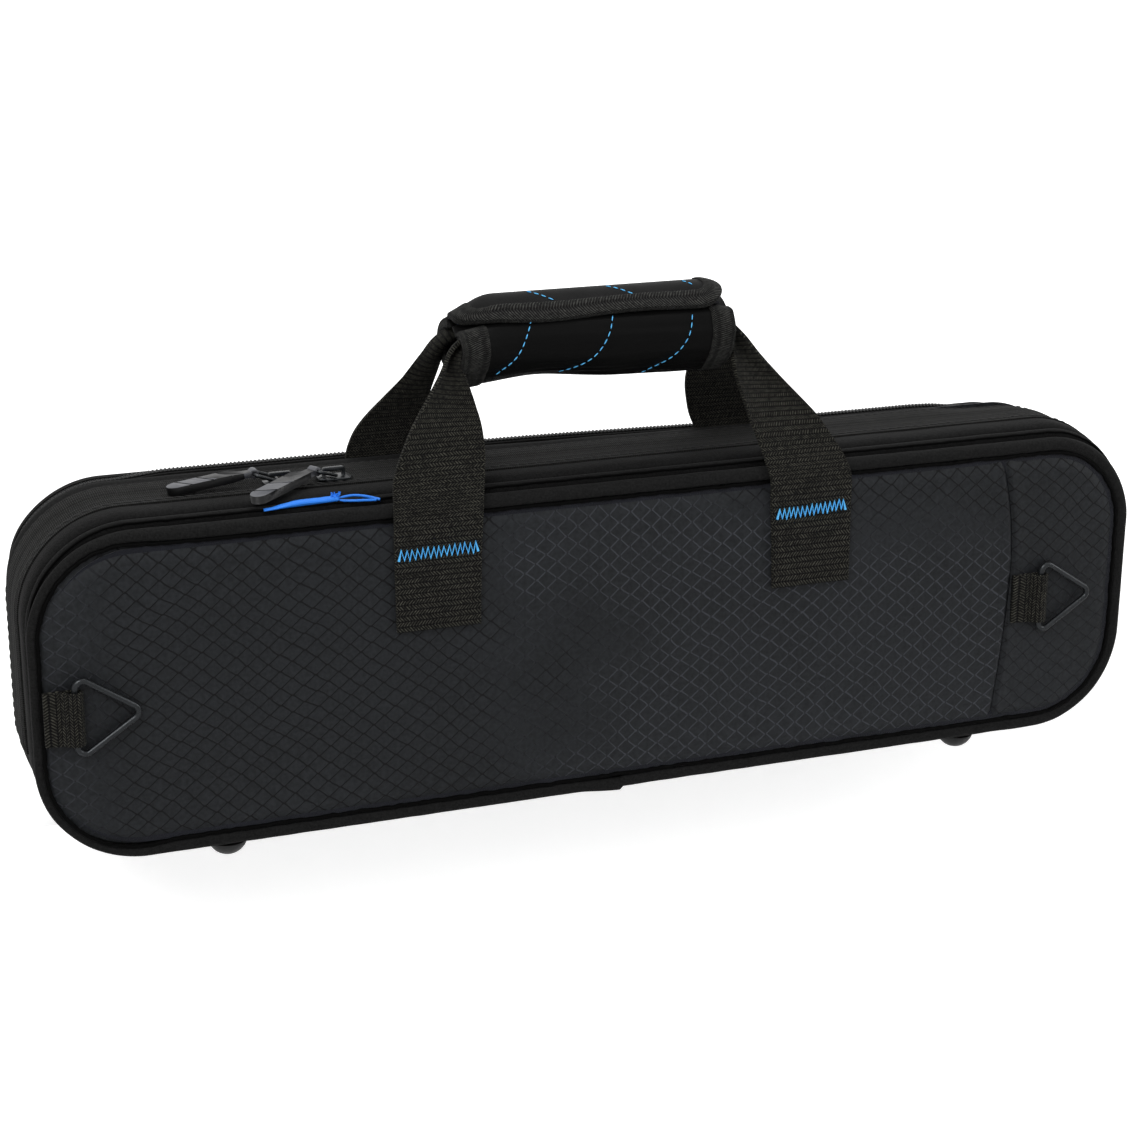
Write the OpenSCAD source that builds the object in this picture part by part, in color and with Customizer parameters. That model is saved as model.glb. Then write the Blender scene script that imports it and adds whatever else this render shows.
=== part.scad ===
// Zipped flute case: a stiff shell in a padded cloth cover, opened by a zip all round,
// with two webbing carry handles under one wrap, a flat pocket at the back and two rings
// for a shoulder strap. Millimetres, +Z up, front towards -Y, standing on its feet.

/* [Case] */
// Length over the padded cover
case_l = 419; // [400:1:460]
// Height of the padded cover, without the feet
case_h = 120.5; // [116:0.5:135]
// Corner radius of the padded cover
case_r = 36.4; // [34:0.2:42]
// Depth from the front panel to the zip that parts lid and body
lid_depth = 26.5; // [25:0.5:36]
// Depth from that zip to the seam where the pocket starts
body_depth = 22.1; // [20:0.1:30]
// Thickness of the cover with its foam backing
cover_t = 3.4; // [3:0.1:4.5]
// Wall of the stiff shells
shell_t = 2.2; // [1.5:0.1:3]
// Set-back of the stiff shells from the zip
shell_setback = 5; // [4.5:0.5:7]

/* [Front panel] */
// Distance of the front panel's edge from the cover's ends
panel_end_margin = 5.55; // [5.4:0.05:12]
// Distance of the front panel's edge from the cover's top and bottom
panel_side_margin = 7.35; // [7:0.05:10]
// Corner radius of the front panel
panel_r = 31.2; // [28:0.2:36]
// Thickness of the front panel's cloth
panel_t = 1.2; // [0.8:0.1:2]
// Thickness of the foam behind the front panel
panel_foam_t = 4.6; // [4.4:0.1:7]
// How far the panel's middle lies below the middle of the cover
panel_drop = 0.75; // [0:0.05:1.5]
// Distance from the middle to the sewn seam near the right end
panel_seam_x = 155; // [120:1:165]
// Radius of the rolled piping round the front panel
piping_r = 2.7; // [2.2:0.1:2.7]
// Width of the open groove behind the front strip
groove_w = 0.8; // [0.5:0.1:1.5]
// Width of the stitched strip between piping and groove
strip_w = 2.6; // [2:0.1:5]

/* [Inside] */
// Gap between shell and foam, where the rivet heads lie
foam_gap = 1.2; // [1.2:0.1:2]
// Thickness of the plush lining
lining_t = 1; // [0.6:0.1:1.5]
// Depth of the lid's foam floor
lid_foam_t = 4; // [3:0.5:8]
// Width of the lid's foam rim
lid_rim_w = 8; // [6:0.5:12]
// Thickness of the body tray's foam, front to back
tray_t = 19.2; // [18:0.1:24]
// Length of the trough for the flute's body joint
body_joint_l = 360; // [340:1:372]
// Width of the troughs for the body joint and the foot joint
joint_w = 30; // [28:0.5:31]
// Length of the trough for the head joint
head_joint_l = 225; // [210:1:228]
// Width of the trough for the head joint
head_joint_w = 26; // [24:0.5:28]
// Length of the trough for the foot joint
foot_joint_l = 140; // [120:1:142]
// Foam rib between the head joint and the foot joint
joint_rib = 8; // [6:0.5:12]
// Distance of each row of troughs from the middle
trough_offset = 24.5; // [22:0.5:26]
// Width of the finger notch that crosses the middle rib
notch_w = 24; // [16:1:28]

/* [Zips] */
// Half the gap between the two tapes of a zip
zip_half_gap = 0.5; // [0.45:0.05:0.7]
// Thickness of a zip tape
tape_t = 0.7; // [0.5:0.05:1]
// Width of the lid's zip tape
lid_tape_w = 8; // [7:0.5:10]
// Width of the body's zip tape
body_tape_w = 15; // [12:0.5:16]
// Width of the zip's channel, clear of the cover on each side
zip_channel = 4.5; // [4.4:0.1:5]
// Pitch of the zip's teeth
tooth_pitch = 4; // [3:0.5:6]
// Height of the row of teeth
coil_h = 1.5; // [1.2:0.1:1.8]
// Width of the solid root of a row of teeth
coil_root = 1.5; // [1:0.1:1.6]
// Length of a tooth past its root
tooth_l = 0.9; // [0.5:0.1:1.1]

/* [Sliders and pulls] */
// Length of a zip slider
slider_l = 12; // [10:0.5:12]
// Width of a zip slider
slider_w = 7.2; // [6.4:0.2:7.4]
// Thickness of a slider's plates
slider_plate = 1.05; // [0.8:0.05:1.1]
// Running gap between a slider and its zip
slider_gap = 0.12; // [0.08:0.01:0.15]
// Thickness of the neck that joins a slider's plates
neck_t = 0.7; // [0.5:0.05:0.8]
// Width of the slider's bail
bail_w = 1.6; // [1.2:0.1:1.8]
// Place of the right slider along the zip
slider_right_x = -98; // [-99:1:-94]
// Place of the left slider along the zip
slider_left_x = -117; // [-140:1:-117]
// Wire of the link between slider and pull
link_wire = 1.2; // [1:0.1:1.4]
// Length of the link
link_l = 10; // [9:0.5:12]
// Width of the link
link_w = 8; // [7.6:0.2:8.6]
// Length of a pull
pull_l = 30; // [24:1:32]
// Width of a pull
pull_w = 7.6; // [6:0.2:8]
// Thickness of a pull
pull_t = 1.8; // [1.4:0.1:2.4]
// Angle at which the right pull lies towards the front
pull_yaw = 32; // [28:1:33]

/* [Pocket] */
// Depth of the pocket behind its zip
pocket_depth = 12; // [9:0.5:20]
// How far the pocket's cloth stays inside the cover's ends
pocket_end_inset = 3; // [2:0.5:8]
// How far the pocket's cloth stays inside the cover's top and bottom
pocket_side_inset = 0.5; // [0.5:0.1:3]
// Corner radius of the pocket
pocket_r = 33.4; // [30:0.2:38]
// Thickness of the pocket's cloth
pocket_t = 1.6; // [1.2:0.1:2]
// Thickness of the wall between case and pocket
back_wall_t = 1.2; // [0.8:0.1:1.5]
// Radius of the piping round the pocket's panel
pocket_piping_r = 2; // [1.5:0.1:2.4]
// Height of the pocket's slider above the middle of the right end
pocket_slider_z = 2; // [0:1:6]
// Length of the pocket's pull
pocket_pull_l = 26; // [20:1:30]

/* [Carry handles] */
// Width of the handle webbing
strap_w = 30; // [24:1:32]
// Thickness of the handle webbing
strap_t = 1.4; // [1:0.1:1.5]
// Middle of the left legs
strap_left_x = -70; // [-72:1:-66]
// Middle of the front right leg
strap_right_x = 72.5; // [66:0.5:78]
// Middle of the rear right leg
strap_rear_right_x = 64; // [62:1:76]
// Lower end of the webbing that is sewn to the front, above the case's bottom
strap_sewn_z = 72.5; // [40:0.5:90]
// Height of the webbing where it enters the wrap
fold_h = 15; // [12:0.5:17]
// Length of the wrap round the handles
wrap_l = 108; // [102:1:110]
// Middle of the wrap along the case
wrap_x = -3; // [-5:0.5:0]
// Radius of the closed wrap
wrap_r = 16.5; // [15:0.5:18]
// Height of the wrap's axis above the cover
wrap_rise = 44.5; // [40:0.5:50]
// Thickness of the wrap's flap
flap_t = 1.9; // [1.5:0.1:2.4]
// Thickness of the hook and the loop tape under the flap, each
hook_t = 0.6; // [0.4:0.1:0.8]
// Angle of the flap's free edge from the top, towards the front
flap_front = 60; // [50:1:68]
// Angle of the flap's hinge from the top, towards the back
flap_back = 20; // [12:1:22]
// Thickness of the tongue that carries the flap's hinge
tongue_t = 1.4; // [1:0.1:1.8]
// Width of the tape that binds each end of the wrap
binding_w = 9; // [6:0.5:12]

/* [Rings, feet and loop] */
// Outer height of a strap ring at its bar
ring_h = 28; // [26:0.5:30]
// Distance from the bar to the outside of a ring's point
ring_l = 23; // [20:0.5:26]
// Wire of a strap ring
ring_wire = 2.8; // [2.4:0.1:3]
// Place of the left ring's bar
ring_left_x = -195.5; // [-197:0.5:-190]
// Place of the right ring's bar
ring_right_x = 170; // [168:0.5:174]
// Height of the rings' middle below the panel's middle
ring_drop = 3; // [0:0.5:8]
// Width of the webbing tab that holds a ring
tab_w = 19; // [16:0.5:19]
// Thickness of that webbing
tab_t = 1.2; // [0.8:0.1:1.3]
// Length of a tab from its seam to the ring's bar
tab_l = 10; // [8:0.5:11]
// Height of a foot
foot_h = 5; // [4:0.5:7]
// Diameter of a foot at the cover
foot_d = 14; // [12:0.5:15]
// Diameter of the flat under a foot
foot_flat_d = 6; // [4:0.5:7]
// Distance of the feet from the middle
foot_x = 144; // [130:1:150]
// Distance of the feet from the zip, front and back
foot_offset = 16.5; // [15:0.5:17]
// Diameter of a foot's rivet
rivet_d = 3; // [2.5:0.5:3]
// Length of the cloth loop on top of the lid
loop_l = 34; // [28:1:36]
// Width of the cloth loop
loop_w = 5; // [4:0.2:6]
// Thickness of the cloth loop
loop_t = 0.8; // [0.6:0.1:0.9]

/* [Hidden] */
$fn = 48;
eps = 0.05;                  // small overlap that makes cuts clean

// Depths, measured back from the face of the front panel
cover_z = foot_h + case_h / 2;                 // middle of the cover
panel_z = cover_z - panel_drop;                // middle of the front panel
top_z = foot_h + case_h;                       // top of the cover
front_d = panel_t + panel_foam_t;              // back of the front foam
cover_d = front_d + strip_w + groove_w;        // front edge of the lid's cover
split_gap = 0.35;                              // rims keep this off the parting plane
lid_rim_d = lid_depth - split_gap;
body_rim_d = lid_depth + split_gap;
seam_d = lid_depth + body_depth;               // rear edge of the body's cover
seam_gap = 0.45;                               // the cover's rear edge keeps this off the back wall
back_d = seam_d + seam_gap;                    // front face of the back wall
pocket_tape_d = back_d + back_wall_t;          // front edge of the pocket's zip tape
pocket_zip_d = pocket_tape_d + 2.25 + zip_half_gap;
pocket_back_d = pocket_zip_d + pocket_depth;   // outer face of the pocket's panel
tab_clear = 0.15;                              // gap between a ring's bar and its webbing
ring_d = -(ring_wire / 2 + tab_clear + tab_t + 0.1);
tab_front_d = ring_d - ring_wire / 2 - tab_clear - tab_t;
piping_proud = 0.3 * pocket_piping_r;          // the pocket's piping stands out from its panel
mid_d = (tab_front_d + pocket_back_d + piping_proud) / 2;

// Sizes that follow the cover's
panel_l = case_l - 2 * panel_end_margin;
panel_h = case_h - 2 * panel_side_margin;
pocket_l = case_l - 2 * pocket_end_inset;
pocket_h = case_h - 2 * pocket_side_inset;

// Heights of the zip, over the top of the case
tape_top = top_z + tape_t;
teeth_z = top_z - coil_h;
zip_low_z = foot_h + case_r + 1;               // the zip ends above the lower corners
straight_l = case_l - 2 * case_r;              // straight run along the top
pocket_straight_l = pocket_l - 2 * pocket_r;
pocket_top = cover_z + pocket_h / 2;

// Inside
foam_inset = cover_t + shell_t + foam_gap;
lid_floor_d = front_d + shell_t;
tray_back_d = back_d - shell_t;
tray_d = tray_back_d - tray_t;
lower_row_l = head_joint_l + joint_rib + foot_joint_l;
upper_z = cover_z + trough_offset;
lower_z = cover_z - trough_offset;
head_x = -lower_row_l / 2;
foot_joint_x = head_x + head_joint_l + joint_rib;

// Handles
wrap_z = top_z + wrap_rise;
pad_gap = 0.35;                                // front and rear halves part here
flap_r = wrap_r + 0.3;
flap_in = flap_r - flap_t;
pad_top_r = flap_in - 2 * hook_t - 0.15;       // pad under the flap
tongue_in = pad_top_r - tongue_t;
core_d = 8;                                    // distance of each handle's core from the zip
core_t = 2 * strap_t;                          // webbing folded double inside the wrap
rear_top = tongue_in * cos(flap_back) - 0.4;   // top of the rear pad, under the tongue
rear_step = flap_r * sin(flap_back) + 0.6;      // the rear pad is low under the tongue and the flap
band_t = 0.5;                                  // thickness of the tapes round the wrap's ends
wrap_x0 = wrap_x - wrap_l / 2;
wrap_x1 = wrap_x + wrap_l / 2;
front_core_d = lid_depth - core_d - core_t / 2;
rear_core_d = lid_depth + core_d - core_t / 2;
strap_clear = 0.2;                             // webbing keeps this off the piping
front_leg_z = panel_z + panel_h / 2 + piping_r + 1.5;
rear_leg_d = seam_d + 0.1;

// Rings and feet
ring_z = panel_z - ring_drop;
ring_bend = 2.6;                               // radius of the wire's three bends
ring_steps = 4;                                // straight lengths in each bend
ring_sides = 16;                               // sides of the bent wire
ring_lap = 0.3;                                // the bent wire laps the bar by this at each end
// height of a foot's dome's centre, so that it meets the flat below and the cover above
dome_c = (foot_h * foot_h + foot_d * foot_d / 4 - foot_flat_d * foot_flat_d / 4) / (2 * foot_h);

rivet_top = foot_h + cover_t + shell_t;
rivet_head_d = 2.2 * rivet_d;

// Ribbon loop
loop_tip_w = 0.55 * loop_w;
flat_l = 0.55 * loop_l;
strand_w = 0.9;
neck_end = flat_l + 2;
eye_end = neck_end + loop_w;

// Sliders
upper_z0 = tape_top + slider_gap;
lower_z1 = teeth_z - slider_gap;
bail_h = 3.4;
bail_window = 1.9;
bail_wall = 1.2;
bail_l = slider_l * 0.68;
bail_x = -slider_l * 0.36;
link_gap = 0.15;                               // the link's bar keeps this off the slider's plate
link_z = upper_z0 + slider_plate + link_wire / 2 + link_gap;
link_x = 1.2;                                  // the link's bar lies this far from the middle
link_bend = 1.6;
link_far = link_l - link_wire;
link_rise = 20;                                // the link stands up from the slider by this angle
eye_d = 3.2;
eye_l = link_w - link_wire - 2 * link_bend;
eye_z = link_z + link_far * sin(link_rise);
tip_gap = 0.5;                                 // the pull's tip keeps this off the zip's tape
pull_fall = asin((eye_z - pull_t / 2 - tape_top - tip_gap) / (pull_l - pull_w / 2));
groove_pitch = 2.6;
groove_w1 = 0.8;
hinge_w = 7;                                   // width of each cloth strip along the hinge

// Pocket
pocket_tape_t = 0.8;
pocket_panel_t = 1.6;
pocket_coil_w = 2;
pocket_coil_h = 1.5;
pocket_rib_h = 0.9;
pocket_channel = 3.4;                          // thin cloth beside the pocket's slider
pocket_up = pocket_rib_h + slider_gap;
pocket_pull_w = 0.8 * pull_w;
pocket_pull_gap = 0.3;                         // its square bar turns clear of the slider's plate

// Everything is drawn with its depth measured from the front panel, then centred
module place() translate([0, -mid_d, 0]) children();

// A sketch drawn in X and Z, made solid from depth d0 to depth d1
module slab(d0, d1, z) translate([0, d1, z]) rotate([90, 0, 0]) linear_extrude(d1 - d0) children();

module rounded(l, h, r) {
    square([l - 2 * r, h], center = true);
    square([l, h - 2 * r], center = true);
    for (sx = [-1, 1], sz = [-1, 1]) translate([sx * (l / 2 - r), sz * (h / 2 - r)]) circle(r);
}

module cover_outline(inset = 0) rounded(case_l - 2 * inset, case_h - 2 * inset, case_r - inset);
module panel_outline(inset = 0) rounded(panel_l - 2 * inset, panel_h - 2 * inset, panel_r - inset);
module pocket_outline(inset = 0)
    rounded(pocket_l - 2 * inset, pocket_h - 2 * inset, pocket_r - inset);

// A round cord laid along a rounded rectangle, at depth d
module cord_ring(l, h, r, cord_r, d, z) translate([0, d, z]) rotate([90, 0, 0]) {
    for (s = [-1, 1]) {
        translate([-l / 2 + r, s * h / 2, 0]) rotate([0, 90, 0]) cylinder(r = cord_r, h = l - 2 * r);
        translate([s * l / 2, -h / 2 + r, 0]) rotate([-90, 0, 0]) cylinder(r = cord_r, h = h - 2 * r);
    }
    for (k = [0:3])
        translate([(k == 0 || k == 3 ? 1 : -1) * (l / 2 - r), (k < 2 ? 1 : -1) * (h / 2 - r), 0])
            rotate([0, 0, 90 * k]) rotate_extrude(angle = 90) translate([r, 0]) circle(cord_r);
}

// Keeps what lies above the lower corners, where the zips end
module above_corners() intersection() {
    children();
    translate([-case_l, -50, zip_low_z]) cube([2 * case_l, 200, case_h]);
}

// ---- Front of the lid ----
module panel_side(x0, x1) intersection() {
    slab(0, panel_t, panel_z) panel_outline();
    translate([x0, -1, 0]) cube([x1 - x0, panel_t + 2, 2 * case_h]);
}

module front_panel() color("#1d2025") place() panel_side(-case_l, panel_seam_x - 0.1);
module front_panel_end() color("#1f2227") place() panel_side(panel_seam_x + 0.1, case_l);

module front_foam() color("#3a3a3a") place() slab(panel_t, front_d, panel_z) panel_outline(0.4);

module front_piping() color("#202020") place()
    cord_ring(panel_l + 2 * piping_r + 0.1, panel_h + 2 * piping_r + 0.1,
        panel_r + piping_r + 0.05, piping_r, piping_r + 0.05, panel_z);

module lid_strip() color("#262626") place() difference() {
    slab(front_d, front_d + strip_w, cover_z - panel_drop / 2) cover_outline(1);
    slab(front_d - 1, front_d + strip_w + 1, cover_z) cover_outline(cover_t);
}

module foot_holes(side, z1) for (sx = [-1, 1])
    translate([sx * foot_x, lid_depth + side * foot_offset, foot_h - 1])
        cylinder(d = rivet_d + 0.1, h = z1 - foot_h + 1);

// Room for the rivets' heads, where the front wall stands close to them
module head_holes() for (sx = [-1, 1])
    translate([sx * foot_x, lid_depth - foot_offset, rivet_top])
        cylinder(d = rivet_head_d + 0.2, h = foam_gap);

module lid_shell() color("#303030") place() difference() {
    slab(front_d, lid_depth - shell_setback, cover_z) cover_outline(cover_t);
    slab(lid_floor_d, lid_depth, cover_z) cover_outline(cover_t + shell_t);
    foot_holes(-1, foot_h + foam_inset);
    head_holes();
}

module lid_cover() color("#262626") place() difference() {
    slab(cover_d, lid_rim_d, cover_z) cover_outline();
    slab(cover_d - 1, lid_depth, cover_z) cover_outline(cover_t);
    translate([-case_l, lid_depth - zip_channel, zip_low_z]) cube([2 * case_l, 20, case_h]);
    foot_holes(-1, foot_h + cover_t + 1);
}

module lid_foam() color("#4a4a4a") place() difference() {
    slab(lid_floor_d, lid_rim_d - lining_t, cover_z) cover_outline(foam_inset);
    slab(lid_floor_d + lid_foam_t, lid_depth, cover_z) cover_outline(foam_inset + lid_rim_w);
}

module lid_lining() color("#2b2d33") place() difference() {
    union() {
        slab(lid_rim_d - lining_t, lid_rim_d, cover_z) cover_outline(foam_inset);
        slab(lid_floor_d + lid_foam_t, lid_rim_d, cover_z) cover_outline(foam_inset + lid_rim_w);
    }
    slab(lid_floor_d + lid_foam_t + lining_t, lid_depth, cover_z)
        cover_outline(foam_inset + lid_rim_w + lining_t);
}

// ---- Zips ----
module zip_tape(d0, d1) above_corners() difference() {
    slab(d0, d1, cover_z) cover_outline(-tape_t);
    slab(d0 - 1, d1 + 1, cover_z) cover_outline();
}

// Outline of a comb: n teeth of length l past a root from 0 to -w, along x from 0
function comb(n, w, l, pitch) = concat([[0, -w]], [for (i = [0:n - 1], k = [0:3])
    [i * pitch + (k < 2 ? 0 : pitch / 2), (k == 1 || k == 2) ? l : 0]], [[n * pitch, 0], [n * pitch, -w]]);

// A row of teeth under the tape, root away from the zip's middle; side is 1 on the body
module teeth_row(side) {
    n = floor(straight_l / tooth_pitch);
    d_root = lid_depth + side * (zip_half_gap + tooth_l);
    translate([-n * tooth_pitch / 2, d_root, teeth_z]) mirror([0, side > 0 ? 1 : 0, 0])
        linear_extrude(coil_h) polygon(comb(n, coil_root, tooth_l, tooth_pitch));
    d0 = side > 0 ? d_root : d_root - coil_root;
    above_corners() difference() {
        slab(d0, d0 + coil_root, cover_z) cover_outline();
        slab(d0 - 1, d0 + coil_root + 1, cover_z) cover_outline(coil_h);
    }
}

module lid_zip_tape() color("#242424") place()
    zip_tape(lid_depth - zip_half_gap - lid_tape_w, lid_depth - zip_half_gap);
module body_zip_tape() color("#242424") place()
    zip_tape(lid_depth + zip_half_gap, lid_depth + zip_half_gap + body_tape_w);
module lid_zip_teeth() color("#1a1a1a") place() teeth_row(-1);
module body_zip_teeth() color("#1a1a1a") place() teeth_row(1);

module hinge_strip(d0, d1) translate([-straight_l / 2, d0, foot_h - tape_t])
    cube([straight_l, d1 - d0, tape_t]);
module lid_hinge_tape() color("#262626") place() hinge_strip(lid_rim_d - hinge_w, lid_rim_d);
module body_hinge_tape() color("#262626") place() hinge_strip(body_rim_d, body_rim_d + hinge_w);

// ---- Body ----
module body_shell() color("#303030") place() difference() {
    slab(lid_depth + shell_setback, back_d, cover_z) cover_outline(cover_t);
    slab(lid_depth, tray_back_d, cover_z) cover_outline(cover_t + shell_t);
    foot_holes(1, foot_h + foam_inset);
}

module body_cover() color("#262626") place() difference() {
    slab(body_rim_d, seam_d, cover_z) cover_outline();
    slab(body_rim_d - 1, seam_d + 1, cover_z) cover_outline(cover_t);
    translate([-case_l, lid_depth + zip_channel - 20, zip_low_z]) cube([2 * case_l, 20, case_h]);
    foot_holes(1, foot_h + cover_t + 1);
}

// Half-round troughs that the flute's three joints lie in, smaller by inset
module trough(x, l, z, w, inset) translate([x + inset, tray_d, z]) rotate([0, 90, 0])
    cylinder(d = w - 2 * inset, h = l - 2 * inset);

module troughs(inset = 0) {
    trough(-body_joint_l / 2, body_joint_l, upper_z, joint_w, inset);
    trough(head_x, head_joint_l, lower_z, head_joint_w, inset);
    trough(foot_joint_x, foot_joint_l, lower_z, joint_w, inset);
    translate([-wrap_l / 2, tray_d, lower_z]) cylinder(d = notch_w - 2 * inset, h = 2 * trough_offset);
}

module body_foam() color("#4a4a4a") place() difference() {
    slab(tray_d, tray_back_d, cover_z) cover_outline(foam_inset);
    troughs();
}

module body_lining() color("#2b2d33") place() difference() {
    union() {
        slab(tray_d - 0.8 * lining_t, tray_d, cover_z) cover_outline(foam_inset);
        intersection() {
            troughs();
            slab(tray_d - eps, tray_back_d, cover_z) cover_outline(foam_inset);
        }
    }
    troughs(lining_t);
}

module back_wall() color("#232427") place() slab(back_d, pocket_tape_d, cover_z) pocket_outline();

// ---- Handles ----
// One leg of webbing, flat at its foot, that folds together on its way up to the wrap
module leg(foot_x0, foot_d0, foot_z, end_x, end_d) {
    // each knee: share of the rise, of the lean along x, of the lean in depth, of the width
    knees = [[0, 0, 0, 1], [0.42, 0.3, 0.33, 0.85], [0.72, 0.6, 0.56, 0.34]];
    module knee(k) translate([foot_x0 + k[1] * (end_x - foot_x0) - k[3] * strap_w / 2,
        foot_d0 + k[2] * (end_d - foot_d0), foot_z + k[0] * (wrap_z - foot_z)])
            cube([k[3] * strap_w, strap_t, eps]);
    for (i = [0, 1]) hull() {
        knee(knees[i]);
        knee(knees[i + 1]);
    }
    hull() {
        knee(knees[2]);
        translate([end_x - eps / 2, end_d, wrap_z - fold_h * 0.6]) cube([eps, core_t, fold_h]);
    }
}

module grip_core(d, fit = 0) translate([wrap_x0 - fit, d - fit, wrap_z - fold_h * 0.6 - fit])
    cube([wrap_l + 2 * fit, core_t + 2 * fit, fold_h + 2 * fit]);

module front_strap() color("#1c1c1c") place() {
    for (x = [strap_left_x, strap_right_x]) {
        translate([x - strap_w / 2, -strap_t - strap_clear, foot_h + strap_sewn_z])
            cube([strap_w, strap_t, front_leg_z - foot_h - strap_sewn_z + eps]);
        translate([x - strap_w / 2, -strap_clear - eps, foot_h + strap_sewn_z])
            cube([strap_w, strap_clear + eps, panel_z + panel_h / 2 - piping_r - foot_h - strap_sewn_z]);
    }
    leg(strap_left_x, -strap_t - strap_clear, front_leg_z, wrap_x0, front_core_d);
    leg(strap_right_x, -strap_t - strap_clear, front_leg_z, wrap_x1, front_core_d);
    grip_core(front_core_d);
}

module rear_strap() color("#1c1c1c") place() {
    leg(strap_left_x - 3, rear_leg_d, pocket_top, wrap_x0, rear_core_d);
    leg(strap_rear_right_x, rear_leg_d, pocket_top, wrap_x1, rear_core_d);
    grip_core(rear_core_d);
}

// Part of a ring round the wrap's axis, from angle a0 to a1 measured from the top, front positive
module wrap_sector(r0, r1, a0, a1, x0, x1) translate([x0, lid_depth, wrap_z]) rotate([0, 90, 0])
    rotate([0, 0, 180 + a0]) rotate_extrude(angle = a1 - a0) translate([r0, 0]) square([r1 - r0, x1 - x0]);

// Sketch of a wedge from the wrap's axis, between two angles from the top, front positive
module wedge(a0, a1) polygon([[0, 0], for (k = [0:4]) 2 * wrap_r
    * [-sin(a0 + (a1 - a0) * k / 4), cos(a0 + (a1 - a0) * k / 4)]]);

module handle_pad() color("#141414") place() translate([wrap_x0, lid_depth, wrap_z])
    rotate([90, 0, 90]) linear_extrude(wrap_l) difference() {
        union() {
            difference() {
                union() {
                    circle(pad_top_r);
                    intersection() {
                        circle(wrap_r);
                        wedge(flap_front + 2, 200);
                    }
                }
                translate([-pad_gap, -2 * wrap_r]) square(4 * wrap_r);
            }
            intersection() {
                difference() {
                    circle(pad_top_r);
                    circle(tongue_in);
                }
                wedge(-flap_back, 10);
            }
        }
        translate([front_core_d - lid_depth - eps, -fold_h * 0.6 - eps])
            square([core_t + 2 * eps, fold_h + 2 * eps]);
    }

module end_bands(a0, a1) for (x = [wrap_x0, wrap_x1 - binding_w])
    wrap_sector(wrap_r, wrap_r + band_t, a0, a1, x, x + binding_w);

module handle_binding() color("#2a2a2a") place() end_bands(flap_front + 6, 176);
module rear_binding() color("#2a2a2a") place() end_bands(-176, -(flap_back + 5));

module loop_patch() color("#303030") place()
    wrap_sector(pad_top_r, pad_top_r + hook_t, flap_front - 34, flap_front - 3,
        wrap_x0 + binding_w, wrap_x1 - binding_w);
module hook_patch() color("#303030") place()
    wrap_sector(flap_in - hook_t, flap_in, flap_front - 34, flap_front - 3,
        wrap_x0 + binding_w, wrap_x1 - binding_w);

module handle_flap() color("#151515") place()
    wrap_sector(flap_in, flap_r, -flap_back, flap_front - 6, wrap_x0, wrap_x1);
module flap_binding() color("#2a2a2a") place()
    wrap_sector(flap_in, flap_r, flap_front - 6, flap_front, wrap_x0, wrap_x1);

module rear_pad() color("#141414") place() difference() {
    translate([wrap_x0, lid_depth, wrap_z]) rotate([0, 90, 0]) cylinder(r = wrap_r, h = wrap_l);
    translate([wrap_x0 - 1, lid_depth - wrap_r - 1, wrap_z - wrap_r - 1])
        cube([wrap_l + 2, wrap_r + 1 + pad_gap, 2 * wrap_r + 2]);
    translate([wrap_x0 - 1, lid_depth, wrap_z + rear_top]) cube([wrap_l + 2, rear_step, wrap_r]);
    grip_core(rear_core_d, eps);
}

// ---- Rings for a shoulder strap ----
// Triangle of wire: a round bar at x = 0, and the rest swept from end to end of it round three bends
module wire_ring() {
    r = ring_wire / 2;
    swell = (r + 0.05) / cos(180 / ring_sides);
    top = ring_h / 2 - r - ring_bend;          // middle of the bend at the bar's end
    tip = ring_l - 2 * r - 2 * ring_bend;      // distance from there to the point's bend, along x
    slope = atan2(top, tip);
    // each bend: its middle, the angle it starts at and the angle it turns through
    bends = [[ring_bend, top, 180, -90 - slope], [ring_bend + tip, 0, 90 - slope, 2 * slope - 180],
        [ring_bend, -top, slope - 90, -90 - slope]];
    stops = concat([[0, top - ring_lap, 180]],
        [for (b = bends, k = [0:ring_steps]) let (a = b[2] + b[3] * k / ring_steps)
            [b[0] + ring_bend * cos(a), b[1] + ring_bend * sin(a), a]],
        [[0, ring_lap - top, 180]]);
    last = len(stops) - 1;
    around = [0:ring_sides - 1];
    rotate([90, 0, 0]) {
        rotate([90, 0, 0]) cylinder(r = r, h = 2 * (top - ring_lap / 2), center = true);
        polyhedron(
            [for (s = stops, j = around) let (b = 360 * j / ring_sides)
                [s[0] + swell * cos(b) * cos(s[2]), s[1] + swell * cos(b) * sin(s[2]), swell * sin(b)]],
            concat([[for (j = around) j]], [[for (j = around) (last + 1) * ring_sides - 1 - j]],
                [for (k = [1:last], j = around) let (n = (j + 1) % ring_sides, at = k * ring_sides)
                    [at + j, at + n, at + n - ring_sides, at + j - ring_sides]]));
    }
}

module at_ring(x) translate([x, ring_d, ring_z]) children();
module ring_left() color("#2b2d30") place() at_ring(ring_left_x) wire_ring();
module ring_right() color("#2b2d30") place() at_ring(ring_right_x) wire_ring();

// Webbing folded round the ring's bar and sewn double from there to its seam
module ring_tab(x) translate([x, 0, ring_z - tab_w / 2]) {
    bar = ring_wire / 2 + tab_clear;
    difference() {
        union() {
            translate([0, ring_d, 0]) cylinder(r = bar + tab_t, h = tab_w);
            translate([-tab_l, -2 * tab_t - 0.1, 0]) cube([tab_l, 2 * tab_t, tab_w]);
        }
        translate([0, ring_d, -1]) cylinder(r = bar, h = tab_w + 2);
    }
}
module ring_tab_left() color("#1f1f1f") place() ring_tab(ring_left_x);
module ring_tab_right() color("#1f1f1f") place() ring_tab(ring_right_x);

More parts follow.
